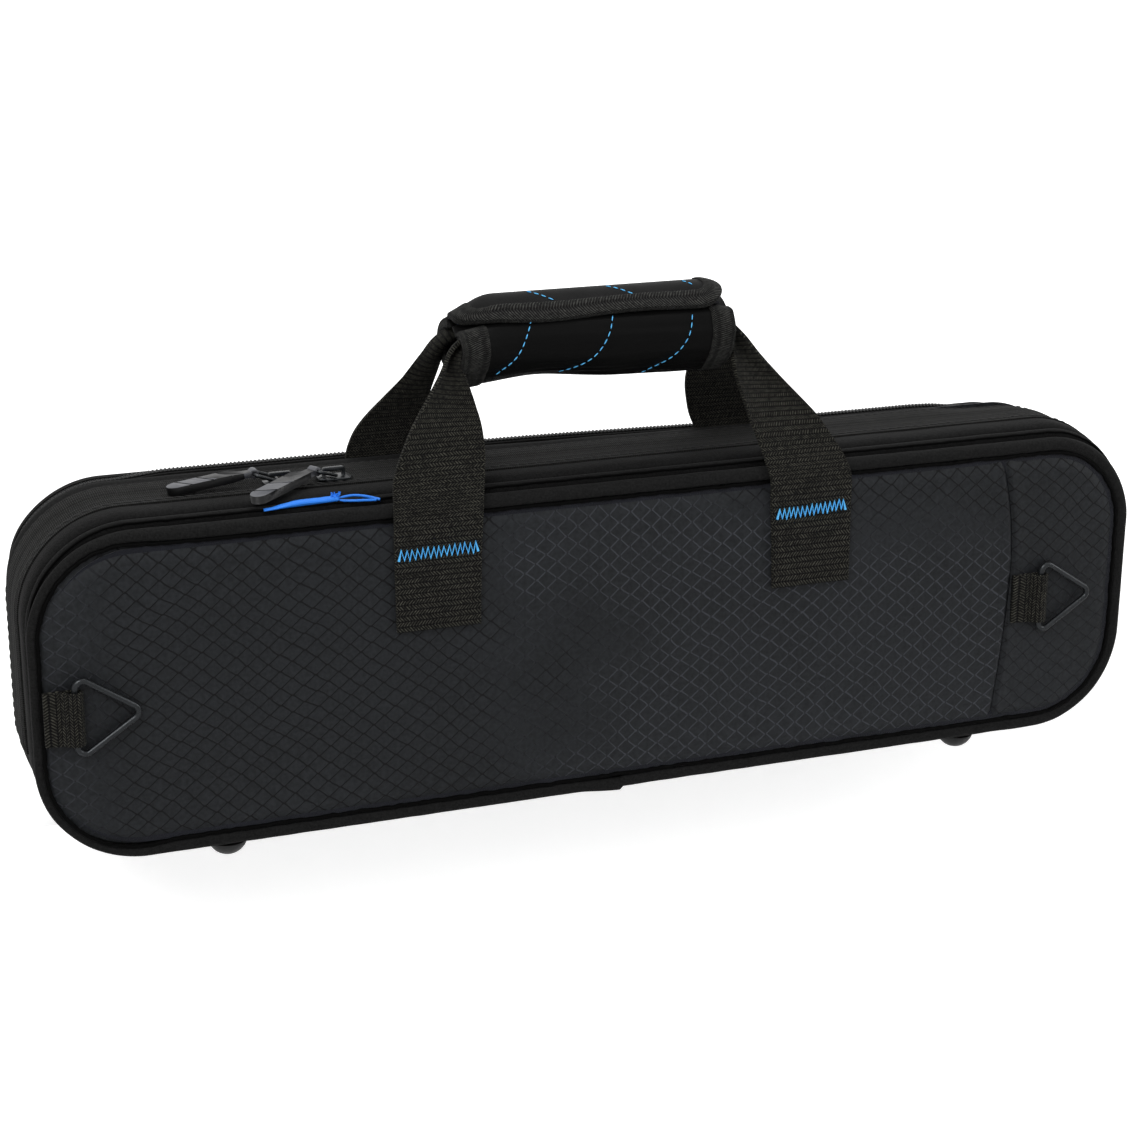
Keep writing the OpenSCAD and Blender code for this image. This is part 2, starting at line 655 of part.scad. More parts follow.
// ---- Feet ----
module feet(side) for (sx = [-1, 1]) translate([sx * foot_x, lid_depth + side * foot_offset, 0]) {
    c = sqrt(foot_d * foot_d / 4 + pow(foot_h - dome_c, 2));
    rotate_extrude() intersection() {
        translate([0, dome_c]) circle(c, $fn = 96);
        square([foot_d, foot_h]);
    }
}

module rivets(side) for (sx = [-1, 1])
    translate([sx * foot_x, lid_depth + side * foot_offset, foot_h]) {
        cylinder(d = rivet_d, h = rivet_top - foot_h + 0.1);
        translate([0, 0, rivet_top - foot_h]) cylinder(d = rivet_head_d, h = foam_gap - 0.25);
    }

module front_feet() color("#191919") place() feet(-1);
module rear_feet() color("#191919") place() feet(1);
module front_rivets() color("#8a8a8a") place() rivets(-1);
module rear_rivets() color("#8a8a8a") place() rivets(1);

// ---- Loop of ribbon on top of the lid: a flat end, a gather and an open eye ----
module blue_loop() color("#2f8fe8") place()
    translate([slider_left_x - 5, cover_d + loop_w / 2 + 0.3, top_z]) linear_extrude(loop_t) {
        edge = [[-1.5, 0.6], [0, loop_tip_w / 2], [flat_l, loop_w / 2], [neck_end, strand_w],
            [eye_end, loop_w / 2], [loop_l, strand_w]];
        difference() {
            polygon([for (p = edge) p, for (i = [len(edge) - 1:-1:0]) [edge[i][0], -edge[i][1]]]);
            polygon([[neck_end + 1, 0], [eye_end, loop_w / 2 - strand_w], [loop_l - 1, 0],
                [eye_end, strand_w - loop_w / 2]]);
        }
    }

// ---- Sliders: zip along x, outside towards +z, drawn round the zip's middle ----
module slider_body(up, low, w) {
    for (z = [up, low - slider_plate]) translate([0, 0, z]) linear_extrude(slider_plate) intersection() {
        translate([-slider_l / 2, -w / 2]) square([slider_l, w]);
        union() {
            translate([slider_l * 0.05, 0]) circle(d = slider_l * 0.92);
            translate([-slider_l / 2, -w * 0.38]) square([slider_l / 2, w * 0.76]);
        }
    }
    translate([slider_l * 0.12, -neck_t / 2, low - eps])
        cube([slider_l * 0.25, neck_t, up - low + 2 * eps]);
    translate([0, bail_w / 2, up + slider_plate - eps]) rotate([90, 0, 0]) linear_extrude(bail_w) bail();
}

// Arch on the slider that the link's bar runs under
module bail() difference() {
    union() {
        translate([bail_x, 0]) square([bail_l, bail_h - 1]);
        translate([bail_x + 1, 0]) square([bail_l - 2, bail_h]);
        for (x = [bail_x + 1, bail_x + bail_l - 1]) translate([x, bail_h - 1]) circle(1);
    }
    translate([bail_x + bail_wall, 0]) square([bail_l - 2 * bail_wall, bail_window + eps]);
}

module at_slider(x) translate([x, lid_depth, 0]) children();
module slider_left() color("#26282b") place() at_slider(slider_left_x)
    slider_body(upper_z0, lower_z1, slider_w);
module slider_right() color("#26282b") place() at_slider(slider_right_x)
    slider_body(upper_z0, lower_z1, slider_w);

// Oval of wire with its bar across the bail at the origin, running towards -x
module link() {
    r = link_wire / 2;
    half = link_w / 2 - r;
    for (x = [0, -link_far]) translate([x, link_bend - half, 0]) rotate([-90, 0, 0])
        cylinder(r = r, h = 2 * (half - link_bend));
    for (s = [-1, 1]) translate([link_bend - link_far, s * half, 0]) rotate([0, 90, 0])
        cylinder(r = r, h = link_far - 2 * link_bend);
    for (k = [0:3])
        translate([k == 0 || k == 3 ? -link_bend : link_bend - link_far,
            (k < 2 ? 1 : -1) * (half - link_bend), 0])
            rotate([0, 0, 90 * k]) rotate_extrude(angle = 90) translate([link_bend, 0]) circle(r);
}

module at_link(x, yaw) translate([x - link_x, lid_depth, link_z]) rotate([0, 0, yaw]) children();
module link_left() color("#2b2d30") place() at_link(slider_left_x, 0) rotate([0, link_rise, 0]) link();
module link_right() color("#2b2d30") place() at_link(slider_right_x, pull_yaw)
    rotate([0, link_rise, 0]) link();

// Pull: an eye round the link's far bar, a neck and a grooved lozenge towards -x
module pull() translate([-link_far * cos(link_rise), 0, link_far * sin(link_rise)])
    rotate([0, -pull_fall, 0]) difference() {
        union() {
            rotate([90, 0, 0]) cylinder(d = eye_d, h = eye_l, center = true);
            translate([0, 0, -pull_t / 2]) linear_extrude(pull_t) union() {
                translate([-4, -eye_l / 2]) square([4, eye_l]);
                polygon([[-3.5, eye_l / 2], [-8, pull_w / 2], [-pull_l + pull_w / 2, pull_w / 2],
                    [-pull_l + pull_w / 2, -pull_w / 2], [-8, -pull_w / 2], [-3.5, -eye_l / 2]]);
                translate([-pull_l + pull_w / 2, 0]) circle(d = pull_w);
            }
        }
        rotate([90, 0, 0]) cylinder(d = link_wire + 0.3, h = pull_w, center = true);
        for (k = [0:3]) translate([-pull_l * 0.8 + groove_pitch * k, 0, pull_t / 2]) rotate([0, 0, 35])
            cube([groove_w1, pull_w * 2, 0.6], center = true);
    }
module pull_left() color("#3a3d41") place() at_link(slider_left_x, 0) pull();
module pull_right() color("#3a3d41") place() at_link(slider_right_x, pull_yaw) pull();

// ---- Pocket ----
module pocket_band(d0, d1, t) difference() {
    slab(d0, d1, cover_z) pocket_outline();
    slab(d0 - 1, d1 + 1, cover_z) pocket_outline(t);
}
module pocket_tape() color("#242424") place()
    pocket_band(pocket_tape_d, pocket_zip_d - zip_half_gap, pocket_tape_t);

// A row of the pocket's teeth stands on its cloth, past the straight top by a plain rib
module pocket_row(d0) {
    n = floor(pocket_straight_l / tooth_pitch);
    w = pocket_coil_w;
    translate([-n * tooth_pitch / 2, d0 + w, pocket_top + eps])
        rotate([90, 0, 0]) linear_extrude(w) polygon(comb(n, eps, pocket_coil_h, tooth_pitch));
    above_corners() difference() {
        slab(d0, d0 + w, cover_z) pocket_outline(-pocket_rib_h);
        slab(d0 - 1, d0 + w + 1, cover_z) pocket_outline();
    }
}
module pocket_teeth() color("#1a1a1a") place()
    pocket_row(pocket_zip_d - zip_half_gap - pocket_coil_w);
module pocket_panel_teeth() color("#1a1a1a") place() pocket_row(pocket_zip_d + zip_half_gap);

module pocket_gusset() color("#242424") place() {
    pocket_band(pocket_zip_d + zip_half_gap, pocket_zip_d + pocket_channel + eps, pocket_tape_t);
    pocket_band(pocket_zip_d + pocket_channel, pocket_back_d + piping_proud - 2 * pocket_piping_r,
        pocket_t);
}
module pocket_panel() color("#1d2025") place()
    slab(pocket_back_d - pocket_panel_t, pocket_back_d, cover_z) pocket_outline(2 * pocket_piping_r + 0.1);
module pocket_piping() color("#202020") place()
    cord_ring(pocket_l - 2 * pocket_piping_r, pocket_h - 2 * pocket_piping_r,
        pocket_r - pocket_piping_r, pocket_piping_r, pocket_back_d + piping_proud - pocket_piping_r, cover_z);

// The pocket's slider stands at the right end, its pull hanging down
module at_pocket_end() translate([pocket_l / 2, pocket_zip_d, cover_z + pocket_slider_z])
    rotate([0, 90, 0]) rotate([0, 0, 180]) children();
module pocket_slider() color("#26282b") place() at_pocket_end()
    slider_body(pocket_up, -pocket_tape_t - slider_gap, 2 * (pocket_zip_d - pocket_tape_d) - 0.4);

// Stamped pull with a window, its end bar under the bail
module pocket_pull() color("#3a3d41") place() at_pocket_end()
    translate([-link_x, 0, pocket_up + slider_plate + pocket_pull_gap]) linear_extrude(link_wire)
    difference() {
        union() {
            translate([-pocket_pull_l + pocket_pull_w / 2, -pocket_pull_w / 2])
                square([pocket_pull_l - pocket_pull_w / 2 + link_wire / 2, pocket_pull_w]);
            translate([-pocket_pull_l + pocket_pull_w / 2, 0]) circle(d = pocket_pull_w);
        }
        translate([-8, -pocket_pull_w / 2 + 1.4]) square([8 - link_wire / 2, pocket_pull_w - 2.8]);
    }

front_panel();
front_panel_end();
front_foam();
front_piping();
lid_strip();
lid_shell();
lid_cover();
lid_foam();
lid_lining();
lid_zip_tape();
lid_zip_teeth();
lid_hinge_tape();
front_strap();
handle_pad();
handle_binding();
loop_patch();
blue_loop();
ring_tab_left();
ring_tab_right();
front_feet();
front_rivets();
handle_flap();
flap_binding();
hook_patch();
ring_left();
ring_right();
body_shell();
body_cover();
body_foam();
body_lining();
body_zip_tape();
body_zip_teeth();
body_hinge_tape();
rear_strap();
rear_pad();
rear_binding();
rear_feet();
rear_rivets();
back_wall();
pocket_tape();
pocket_teeth();
slider_left();
slider_right();
link_left();
link_right();
pull_left();
pull_right();
pocket_panel();
pocket_gusset();
pocket_piping();
pocket_panel_teeth();
pocket_slider();
pocket_pull();
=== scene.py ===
import bpy
import random
from math import atan2, cos, degrees, dist, exp, hypot, pi, radians, sin, sqrt
from mathutils import Matrix, Vector, noise


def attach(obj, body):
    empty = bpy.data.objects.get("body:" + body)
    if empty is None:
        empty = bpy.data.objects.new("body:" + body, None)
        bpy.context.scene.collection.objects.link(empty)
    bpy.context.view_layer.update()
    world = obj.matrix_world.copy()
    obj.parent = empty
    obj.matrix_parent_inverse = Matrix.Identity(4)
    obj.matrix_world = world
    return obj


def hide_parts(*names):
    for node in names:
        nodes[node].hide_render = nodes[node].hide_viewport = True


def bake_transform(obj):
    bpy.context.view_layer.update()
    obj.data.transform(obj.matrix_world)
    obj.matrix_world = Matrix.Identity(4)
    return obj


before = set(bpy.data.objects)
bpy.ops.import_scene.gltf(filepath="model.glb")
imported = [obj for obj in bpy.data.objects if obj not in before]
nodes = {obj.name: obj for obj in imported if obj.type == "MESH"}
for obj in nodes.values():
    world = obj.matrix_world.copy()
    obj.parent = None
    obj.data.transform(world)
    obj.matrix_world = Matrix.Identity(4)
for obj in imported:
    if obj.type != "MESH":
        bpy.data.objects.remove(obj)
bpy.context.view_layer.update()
random.seed(7)
mm = 0.001
middleDepth = 30.0                 # depths count back from the front panel's face, and this one is y = 0

# outlines of the case, in mm: length, height, corner radius, height of the middle
coverLine = (419.0, 120.5, 36.4, 65.25)
panelLine = (407.9, 105.8, 31.2, 64.5)
pocketLine = (413.0, 119.5, 33.4, 65.25)
parting = 26.5                     # depth of the zip between lid and body


# modelling helpers
def clearSelection():
    if bpy.context.object and bpy.context.object.mode != "OBJECT":
        bpy.ops.object.mode_set(mode="OBJECT")
    bpy.ops.object.select_all(action="DESELECT")


def added(name, data):
    obj = bpy.data.objects.new(name, data)
    bpy.context.scene.collection.objects.link(obj)
    return obj


def pick(obj):
    clearSelection()
    obj.select_set(True)
    bpy.context.view_layer.objects.active = obj
    return obj


def applyModifier(obj, kind, **settings):
    pick(obj)
    modifier = obj.modifiers.new(kind.title(), kind)
    for key, value in settings.items():
        setattr(modifier, key, value)
    bpy.ops.object.modifier_apply(modifier=modifier.name)
    return obj


def thicken(obj, thickness, offset):
    return applyModifier(obj, "SOLIDIFY", thickness=thickness * mm, offset=offset)


def bevel(obj, width, segments, angle):
    return applyModifier(obj, "BEVEL", width=width * mm, segments=segments, angle_limit=radians(angle))


def smooth(obj, angle=40):
    pick(obj)
    bpy.ops.object.shade_smooth_by_angle(angle=radians(angle))
    return obj


def tidyMesh(obj, merge=0.00002, fill=True):
    pick(obj)
    bpy.ops.object.mode_set(mode="EDIT")
    bpy.ops.mesh.select_all(action="SELECT")
    bpy.ops.mesh.remove_doubles(threshold=merge)
    if fill:
        bpy.ops.mesh.select_all(action="DESELECT")
        bpy.ops.mesh.select_non_manifold(extend=False, use_wire=False, use_multi_face=False,
                                         use_non_contiguous=False, use_verts=False)
        bpy.ops.mesh.fill_holes(sides=0)
    bpy.ops.mesh.select_all(action="SELECT")
    bpy.ops.mesh.normals_make_consistent(inside=False)
    bpy.ops.object.mode_set(mode="OBJECT")
    return obj


def surface(name, columns, rows, shape, size):
    # a grid laid out by shape(u, v) -> x, depth, z in mm; its UV map counts mm of cloth
    clearSelection()
    bpy.ops.mesh.primitive_grid_add(x_subdivisions=columns, y_subdivisions=rows, size=2)
    obj = bpy.context.object
    obj.name = obj.data.name = name
    places = [((v.co.x + 1) / 2, (v.co.y + 1) / 2) for v in obj.data.vertices]
    layer = obj.data.uv_layers.active.data
    for loop in obj.data.loops:
        u, v = places[loop.vertex_index]
        layer[loop.index].uv = (u * size[0], v * size[1])
    for vertex, (u, v) in zip(obj.data.vertices, places):
        x, depth, z = shape(u, v)
        vertex.co = (x * mm, (depth - middleDepth) * mm, z * mm)
    return obj


def ease(low, high, t):
    t = min(1.0, max(0.0, (t - low) / (high - low)))
    return t * t * (3 - 2 * t)


def wave(x, y, z=0.0, scale=20.0, seed=0.0):
    return noise.noise(Vector((x / scale + seed, y / scale - seed, z / scale + 0.5 * seed)))


def through(points, t):
    # smooth curve through points, t from 0 to 1
    points = [Vector(p) for p in points]
    place = min(len(points) - 1.000001, max(0.0, t * (len(points) - 1)))
    i = int(place)
    f = place - i
    a = points[i - 1] if i else points[0] * 2 - points[1]
    b, c = points[i], points[i + 1]
    d = points[i + 2] if i + 2 < len(points) else c * 2 - b
    return 0.5 * ((2 * b) + (c - a) * f + (2 * a - 5 * b + 4 * c - d) * f * f
        + (3 * b - a - 3 * c + d) * f ** 3)


def dense(points, count):
    return [tuple(through([(*p, 0) for p in points], i / count)[:2]) for i in range(count + 1)]


def inset(line, by):
    return line[0] - 2 * by, line[1] - 2 * by, line[2] - by, line[3]


def girth(line):
    length, height, r, _ = line
    return 2 * (length - 2 * r) + 2 * (height - 2 * r) + 2 * pi * r


def outlineAt(line, share):
    # point and outward direction on a rounded rectangle; from the middle of the bottom towards +x
    length, height, r, middle = line
    run = (share % 1.0) * girth(line)
    flat, side, arc = length / 2 - r, height - 2 * r, pi * r / 2
    for kind, size, data in (("line", flat, (0, -1, 0)), ("arc", arc, (1, -1, -90)),
            ("line", side, (1, 0, 0)), ("arc", arc, (1, 1, 0)), ("line", 2 * flat, (0, 1, 0)),
            ("arc", arc, (-1, 1, 90)), ("line", side, (-1, 0, 0)), ("arc", arc, (-1, -1, 180)),
            ("line", flat, (0, -1, 1))):
        if run <= size + 1e-9:
            break
        run -= size
    if kind == "arc":
        angle = radians(data[2]) + run / r
        nx, nz = cos(angle), sin(angle)
        return data[0] * flat + r * nx, middle + data[1] * side / 2 + r * nz, nx, nz
    if data[1] == 0:
        return data[0] * length / 2, middle + data[0] * (run - side / 2), data[0], 0.0
    if data[1] == 1:
        return flat - run, middle + height / 2, 0.0, 1.0
    return (run if data[2] == 0 else run - flat), middle - height / 2, 0.0, -1.0


def zipEnd(line, level=42.4):
    # share of the outline below the ends of the zip
    length, height, r, middle = line
    return (length / 2 - r + pi * r / 2 + level - (middle - height / 2 + r)) / girth(line)


def band(name, line, profile, steps=520, span=(0.0, 1.0), sway=None):
    # cloth laid along an outline: profile is [(outset, depth)], or a function of the share that gives it
    profileAt = profile if callable(profile) else (lambda share: profile)
    rows = len(profileAt(span[0])) - 1
    lengths = [0.0]
    for a, b in zip(profileAt(0.5), profileAt(0.5)[1:]):
        lengths.append(lengths[-1] + dist(a, b))
    total = lengths[-1]

    def shape(u, v):
        share = span[0] + u * (span[1] - span[0])
        outset, depth = profileAt(share)[round(v * rows)]
        x, z, nx, nz = outlineAt(line, share)
        if sway and outset > -3:
            more, back = sway(x, z, depth)
            outset, depth = outset + more, depth + back
        return x + nx * outset, depth, z + nz * outset

    obj = surface(name, steps, rows, shape, (girth(line) * (span[1] - span[0]), total))
    tidyMesh(obj)
    return smooth(obj, 50)


def roundProfile(outset, depth, radius, count=14):
    return [(outset + radius * cos(2 * pi * i / count), depth + radius * sin(2 * pi * i / count))
            for i in range(count + 1)]


def finish(obj, body, material, slot, *replaced):
    obj.data.materials.clear()
    obj.data.materials.append(material)
    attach(obj, body)
    if replaced:
        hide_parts(*replaced)
    return obj


# finishes
class Wire:
    # a socket that takes part in sums
    def __init__(self, paint, socket):
        self.paint, self.socket = paint, socket

    def math(self, operation, *values):
        return self.paint.node("ShaderNodeMath", {"operation": operation}, *values)

    def __add__(self, other):
        return self.math("ADD", self, other)

    def __radd__(self, other):
        return self.math("ADD", other, self)

    def __sub__(self, other):
        return self.math("SUBTRACT", self, other)

    def __rsub__(self, other):
        return self.math("SUBTRACT", other, self)

    def __mul__(self, other):
        return self.math("MULTIPLY", self, other)

    def __rmul__(self, other):
        return self.math("MULTIPLY", other, self)

    def __truediv__(self, other):
        return self.math("DIVIDE", self, other)


class Paint:
    def __init__(self, name, constants):
        self.material = bpy.data.materials.new(name)
        self.material.use_nodes = True
        self.tree = self.material.node_tree
        self.shader = self.tree.nodes["Principled BSDF"]
        for key, value in constants.items():
            self.shader.inputs[key].default_value = value

    def node(self, kind, settings, *values, out=0, **named):
        made = self.tree.nodes.new(kind)
        for key, value in settings.items():
            setattr(made, key, value)
        for key, value in [*enumerate(values), *named.items()]:
            if value is None:
                continue
            socket = made.inputs[key]
            if isinstance(value, Wire):
                self.tree.links.new(value.socket, socket)
            else:
                socket.default_value = value
        return Wire(self, made.outputs[out])

    def feed(self, **wires):
        for key, value in wires.items():
            self.tree.links.new(value.socket, self.shader.inputs[key.replace("_", " ")])

    def place(self):
        # Object coordinates in mm
        source = self.node("ShaderNodeTexCoord", {}, out=3)
        return self.node("ShaderNodeVectorMath", {"operation": "SCALE"}, source, Scale=1000.0)

    def cloth(self):
        return self.node("ShaderNodeTexCoord", {}, out=2)

    def split(self, vector):
        return [self.node("ShaderNodeSeparateXYZ", {}, vector, out=i) for i in range(3)]

    def ridge(self, value, width, soft=0.5):
        # 1 on every whole number of value, 0 away from it
        away = value.math("PINGPONG", value, 0.5)
        return self.smoothStep(away, width * soft, width, 1.0, 0.0)

    def smoothStep(self, value, low, high, start=0.0, end=1.0):
        return self.node("ShaderNodeMapRange", {"interpolation_type": "SMOOTHSTEP"}, value, low, high,
            start, end)

    def noise(self, scale, detail, low=0.0, high=1.0):
        made = self.node("ShaderNodeTexNoise", {}, self.place(), Scale=scale, Detail=detail, Roughness=0.5)
        return self.node("ShaderNodeMapRange", {}, made, 0.3, 0.7, low, high)

    def wavy(self, value):
        return value.math("SINE", value * (2 * pi)) * 0.5 + 0.5

    def blend(self, share, first, second):
        return self.node("ShaderNodeMix", {"data_type": "RGBA"}, share, A=first, B=second, out=2)

    def bump(self, height, strength=0.5, distance=0.0002, after=None):
        return self.node("ShaderNodeBump", {}, strength, distance, Height=height, Normal=after)


def shade(hexCode):
    parts = [int(hexCode[i:i + 2], 16) / 255 for i in (0, 2, 4)]
    return (*[p / 12.92 if p < 0.04045 else ((p + 0.055) / 1.055) ** 2.4 for p in parts], 1.0)


def weaveCloth(name, base, pitch=0.55, lift=0.35, fleck=0.25, rough=0.85, sheen=0.02):
    # plain woven cloth in its UV map, threads counted in mm
    paint = Paint(name, {"Sheen Weight": sheen, "Sheen Roughness": 0.4, "Specular IOR Level": 0.07})
    u, v, _ = paint.split(paint.cloth())
    warp, weft = paint.wavy(u / pitch), paint.wavy(v / pitch)
    threads = warp * 0.5 + weft * 0.5
    patches = paint.noise(0.05, 4)
    grain = paint.noise(1.4, 2)
    light = tuple(min(1, c * 5) for c in base[:3]) + (1,)
    paint.feed(Base_Color=paint.blend(threads * fleck + patches * 0.15 + grain * 0.6, base, light),
               Roughness=rough - threads * 0.1 + patches * 0.05,
               Normal=paint.bump(threads * 0.6 + grain, lift, 0.0003))
    return paint.material


# colours of the cloth and of its lines; the lines' pale colour is a painted sheen
ripstop = {"across": 7.95, "up": 6.12, "thread": 0.075, "cloth": "0b0d0f", "light": "212326",
    "dark": "010102", "paintedSheen": "383a3f"}


def ripstopCloth(name, turn=0.0, sheenStrength=1.0):
    # dark cloth with wavy thicker threads that meet and part; a painted sheen makes the lines pale towards
    # the right and at the far left end, less so near the top, and leaves them dark on the left
    paint = Paint(name, {"Sheen Weight": 0.01, "Sheen Roughness": 0.35, "Specular IOR Level": 0.17})
    x, y, z = paint.split(paint.place())
    uneven = paint.noise(0.035, 3, -0.14, 0.14)
    t = (x / ripstop["across"] + turn + uneven) * (2 * pi)
    swing = t.math("SINE", t) - t.math("SINE", t * 3.0) * 0.1
    level = z / ripstop["up"] + uneven
    first = paint.ridge(level - swing * 0.225, ripstop["thread"], 0.35)
    second = paint.ridge(level + swing * 0.225 + 0.5, ripstop["thread"], 0.35)
    lines = first.math("MAXIMUM", first, second)
    meeting = paint.ridge(x / ripstop["across"] * 2.0 + 0.5 + turn * 2.0, 0.12, 0.2) * lines
    fine = paint.wavy(x / 0.42) * 0.5 + paint.wavy(z / 0.42) * 0.5
    patches = paint.noise(0.018, 3)
    grain = paint.noise(0.75, 2, -0.1, 1.0)
    # painted sheen on the lines: pale towards the right, less near the top, a little at the far left end
    drawn = x + paint.noise(0.02, 2, -40.0, 40.0)
    right = paint.smoothStep(drawn, -70.0, 10.0)
    corner = paint.smoothStep(drawn * 0.3 + z, 112.0, 138.0)
    left = paint.smoothStep(x, -178.0, -198.0)
    paintedSheen = (right - corner + left * 0.6) * sheenStrength
    base = paint.blend(patches * 0.3 + fine * 0.15 + grain * 0.6, shade(ripstop["cloth"]),
        shade(ripstop["light"]))
    paintedLight = paint.blend(paintedSheen, shade(ripstop["dark"]), shade(ripstop["paintedSheen"]))
    paint.feed(Base_Color=paint.blend(meeting * 0.7, paint.blend(lines * 0.92, base, paintedLight),
        shade(ripstop["dark"])), Roughness=0.52 + lines * 0.15 + fine * 0.08 + patches * 0.06,
        Normal=paint.bump(lines + fine * 0.12, 0.6, 0.0003))
    return paint.material


def webbingCloth(name, base, light, rib=1.1, column=1.8, slant=0.9, gap=0.9):
    # herringbone: rows of slanting ribs that turn over from row to row, with dark gaps between the rows
    paint = Paint(name, {"Sheen Weight": 0.02, "Specular IOR Level": 0.1})
    u, v, _ = paint.split(paint.cloth())
    uneven = paint.noise(0.25, 2, -0.15, 0.15)
    zig = v.math("PINGPONG", v, column)
    ribs = paint.wavy((u + zig * slant) / rib + uneven)
    rows = paint.ridge(v / column, 0.2, 0.2)
    wear = paint.noise(0.12, 4)
    fleck = paint.noise(0.8, 2, 0.05, 1.1)
    threads = ribs * ribs - rows * gap
    paint.feed(Base_Color=paint.blend(threads * fleck + wear * 0.06, base, light),
               Roughness=0.88 - ribs * 0.12,
               Normal=paint.bump(threads, 0.8, 0.0004))
    return paint.material


def satinCloth(name, base, gloss):
    # fine slanting twill with a soft gloss
    paint = Paint(name, {"Sheen Weight": 0.01, "Specular IOR Level": gloss})
    u, v, _ = paint.split(paint.cloth())
    twill = paint.wavy((u + v) / 0.6)
    patches = paint.noise(0.08, 3)
    light = tuple(min(1, c * 1.8) for c in base[:3]) + (1,)
    paint.feed(Base_Color=paint.blend(patches * 0.5 + twill * 0.2, base, light),
               Roughness=0.5 + patches * 0.15 - twill * 0.06,
               Normal=paint.bump(twill + patches * 0.6, 0.3, 0.0001))
    return paint.material


def plainStuff(name, base, rough=0.5, metal=0.0, spec=0.5, wear=0.3):
    # moulded plastic, rubber, painted or bare metal with fine grain and worn patches
    paint = Paint(name, {"Metallic": metal, "Specular IOR Level": spec})
    grain = paint.noise(1.5, 3)
    patches = paint.noise(0.15, 4)
    light = tuple(min(1, c * 1.7 + 0.004) for c in base[:3]) + (1,)
    paint.feed(Base_Color=paint.blend(patches * wear + grain * 0.15, base, light),
               Roughness=rough + patches * 0.12 - grain * 0.05,
               Normal=paint.bump(grain, 0.25, 0.0001))
    return paint.material


def plushCloth(name, base):
    paint = Paint(name, {"Sheen Weight": 0.12, "Sheen Roughness": 0.5, "Specular IOR Level": 0.1})
    pile = paint.noise(2.6, 4)
    brushed = paint.noise(0.06, 4)
    light = tuple(min(1, c * 2.2) for c in base[:3]) + (1,)
    paint.feed(Base_Color=paint.blend(brushed * 0.6 + pile * 0.3, base, light),
        Roughness=0.95 - brushed * 0.08, Normal=paint.bump(pile, 0.6, 0.0004))
    return paint.material


finishes = {
    "cover": weaveCloth("coverCloth", shade("090909")),
    "tape": webbingCloth("zipTape", shade("090909"), shade("333331"), rib=0.7, column=1.3, slant=0.0,
        gap=0.9),
    "ripstop": ripstopCloth("ripstopFront"),
    # the end panel takes only a little of the painted sheen
    "ripstopEnd": ripstopCloth("ripstopEnd", turn=0.4, sheenStrength=0.15),
    "webbing": webbingCloth("handleWebbing", shade("020202"), shade("4c4b43")),
    "satin": satinCloth("wrapSatin", shade("030303"), gloss=0.06),
    "binding": webbingCloth("bindingTape", shade("050505"), shade("484845"), rib=1.1, column=2.6, slant=1.3,
        gap=0.5),
    "blue": satinCloth("blueRibbon", shade("1768c6"), gloss=0.4),
    # near-black for the rolls laid in dark gaps: painted shadow
    "paintedLight": satinCloth("paintedShadowBlack", shade("020202"), gloss=0.03),
    "thread": plainStuff("blueThread", shade("58b2f8"), rough=0.6, spec=0.3),
    "blackThread": plainStuff("blackThread", shade("1d1d1d"), rough=0.7, spec=0.3),
    "paleThread": plainStuff("paleThread", shade("3c3c3a"), rough=0.7, spec=0.2),
    "shell": plainStuff("shellPlastic", shade("1b1b1b"), rough=0.55, spec=0.2),
    "foot": plainStuff("footPlastic", shade("0f0f0f"), rough=0.38, spec=0.3),
    "coil": plainStuff("zipCoil", shade("0c0c0c"), rough=0.35, spec=0.3),
    "gunmetal": plainStuff("gunmetal", shade("55565a"), rough=0.38, metal=0.85, wear=0.3),
    # a darker copy of the gunmetal for the pulls' flanks and groove floors: painted shade
    "paintedShadeSide": plainStuff("paintedShadeSide", shade("0d0d0e"), rough=0.3, metal=0.2, spec=0.3, wear=0.2),
    "blackWire": plainStuff("blackWire", shade("232527"), rough=0.25, metal=0.7, wear=0.3),
    "rivet": plainStuff("rivetSteel", shade("8d8f92"), rough=0.35, metal=1.0),
    "plush": plushCloth("plushLining", shade("101116")),
}
print("finishes made")

# front of the lid
front = {"crown": 0.75, "tuck": 1.9, "tuckWidth": 7.0,
    "seam": [(153.5, 11.3), (155.6, 25), (157.2, 41), (158.2, 68), (156.6, 96), (152.4, 118.0)]}


def halfLength(line, z):
    length, height, r, middle = line
    over = abs(z - middle) - (height / 2 - r)
    return length / 2 if over <= 0 else length / 2 - r + sqrt(max(0.0, r * r - min(over, r) ** 2))


def seamAt(z):
    share = (z - front["seam"][0][1]) / (front["seam"][-1][1] - front["seam"][0][1])
    return through([(x, z0, 0) for x, z0 in front["seam"]], share)[0]


def edgeDistance(line, x, z):
    length, height, r, middle = line
    ax, az = abs(x) - (length / 2 - r), abs(z - middle) - (height / 2 - r)
    if ax > 0 and az > 0:
        return r - hypot(ax, az)
    return r - max(ax, az)


def leftTuck(x, z):
    # the cover and the zip lie flatter round the left end
    return -ease(186, 206, -x) * (0.35 + 0.6 * (1 - ease(85, 110, z)) + 1.2 * exp(-((z - 27) / 13) ** 2))


def rearCorner(x, z):
    return ease(138, 166, x) * ease(92, 112, z)


def leftTop(x, z):
    # the rear of the case stands a little higher towards its left end
    return ease(-90, 40, -x) * ease(85, 112, z)


def leftPull(x):
    # at the left end the cloth is drawn further over the piping
    return 2.2 * ease(150, 200, -x)


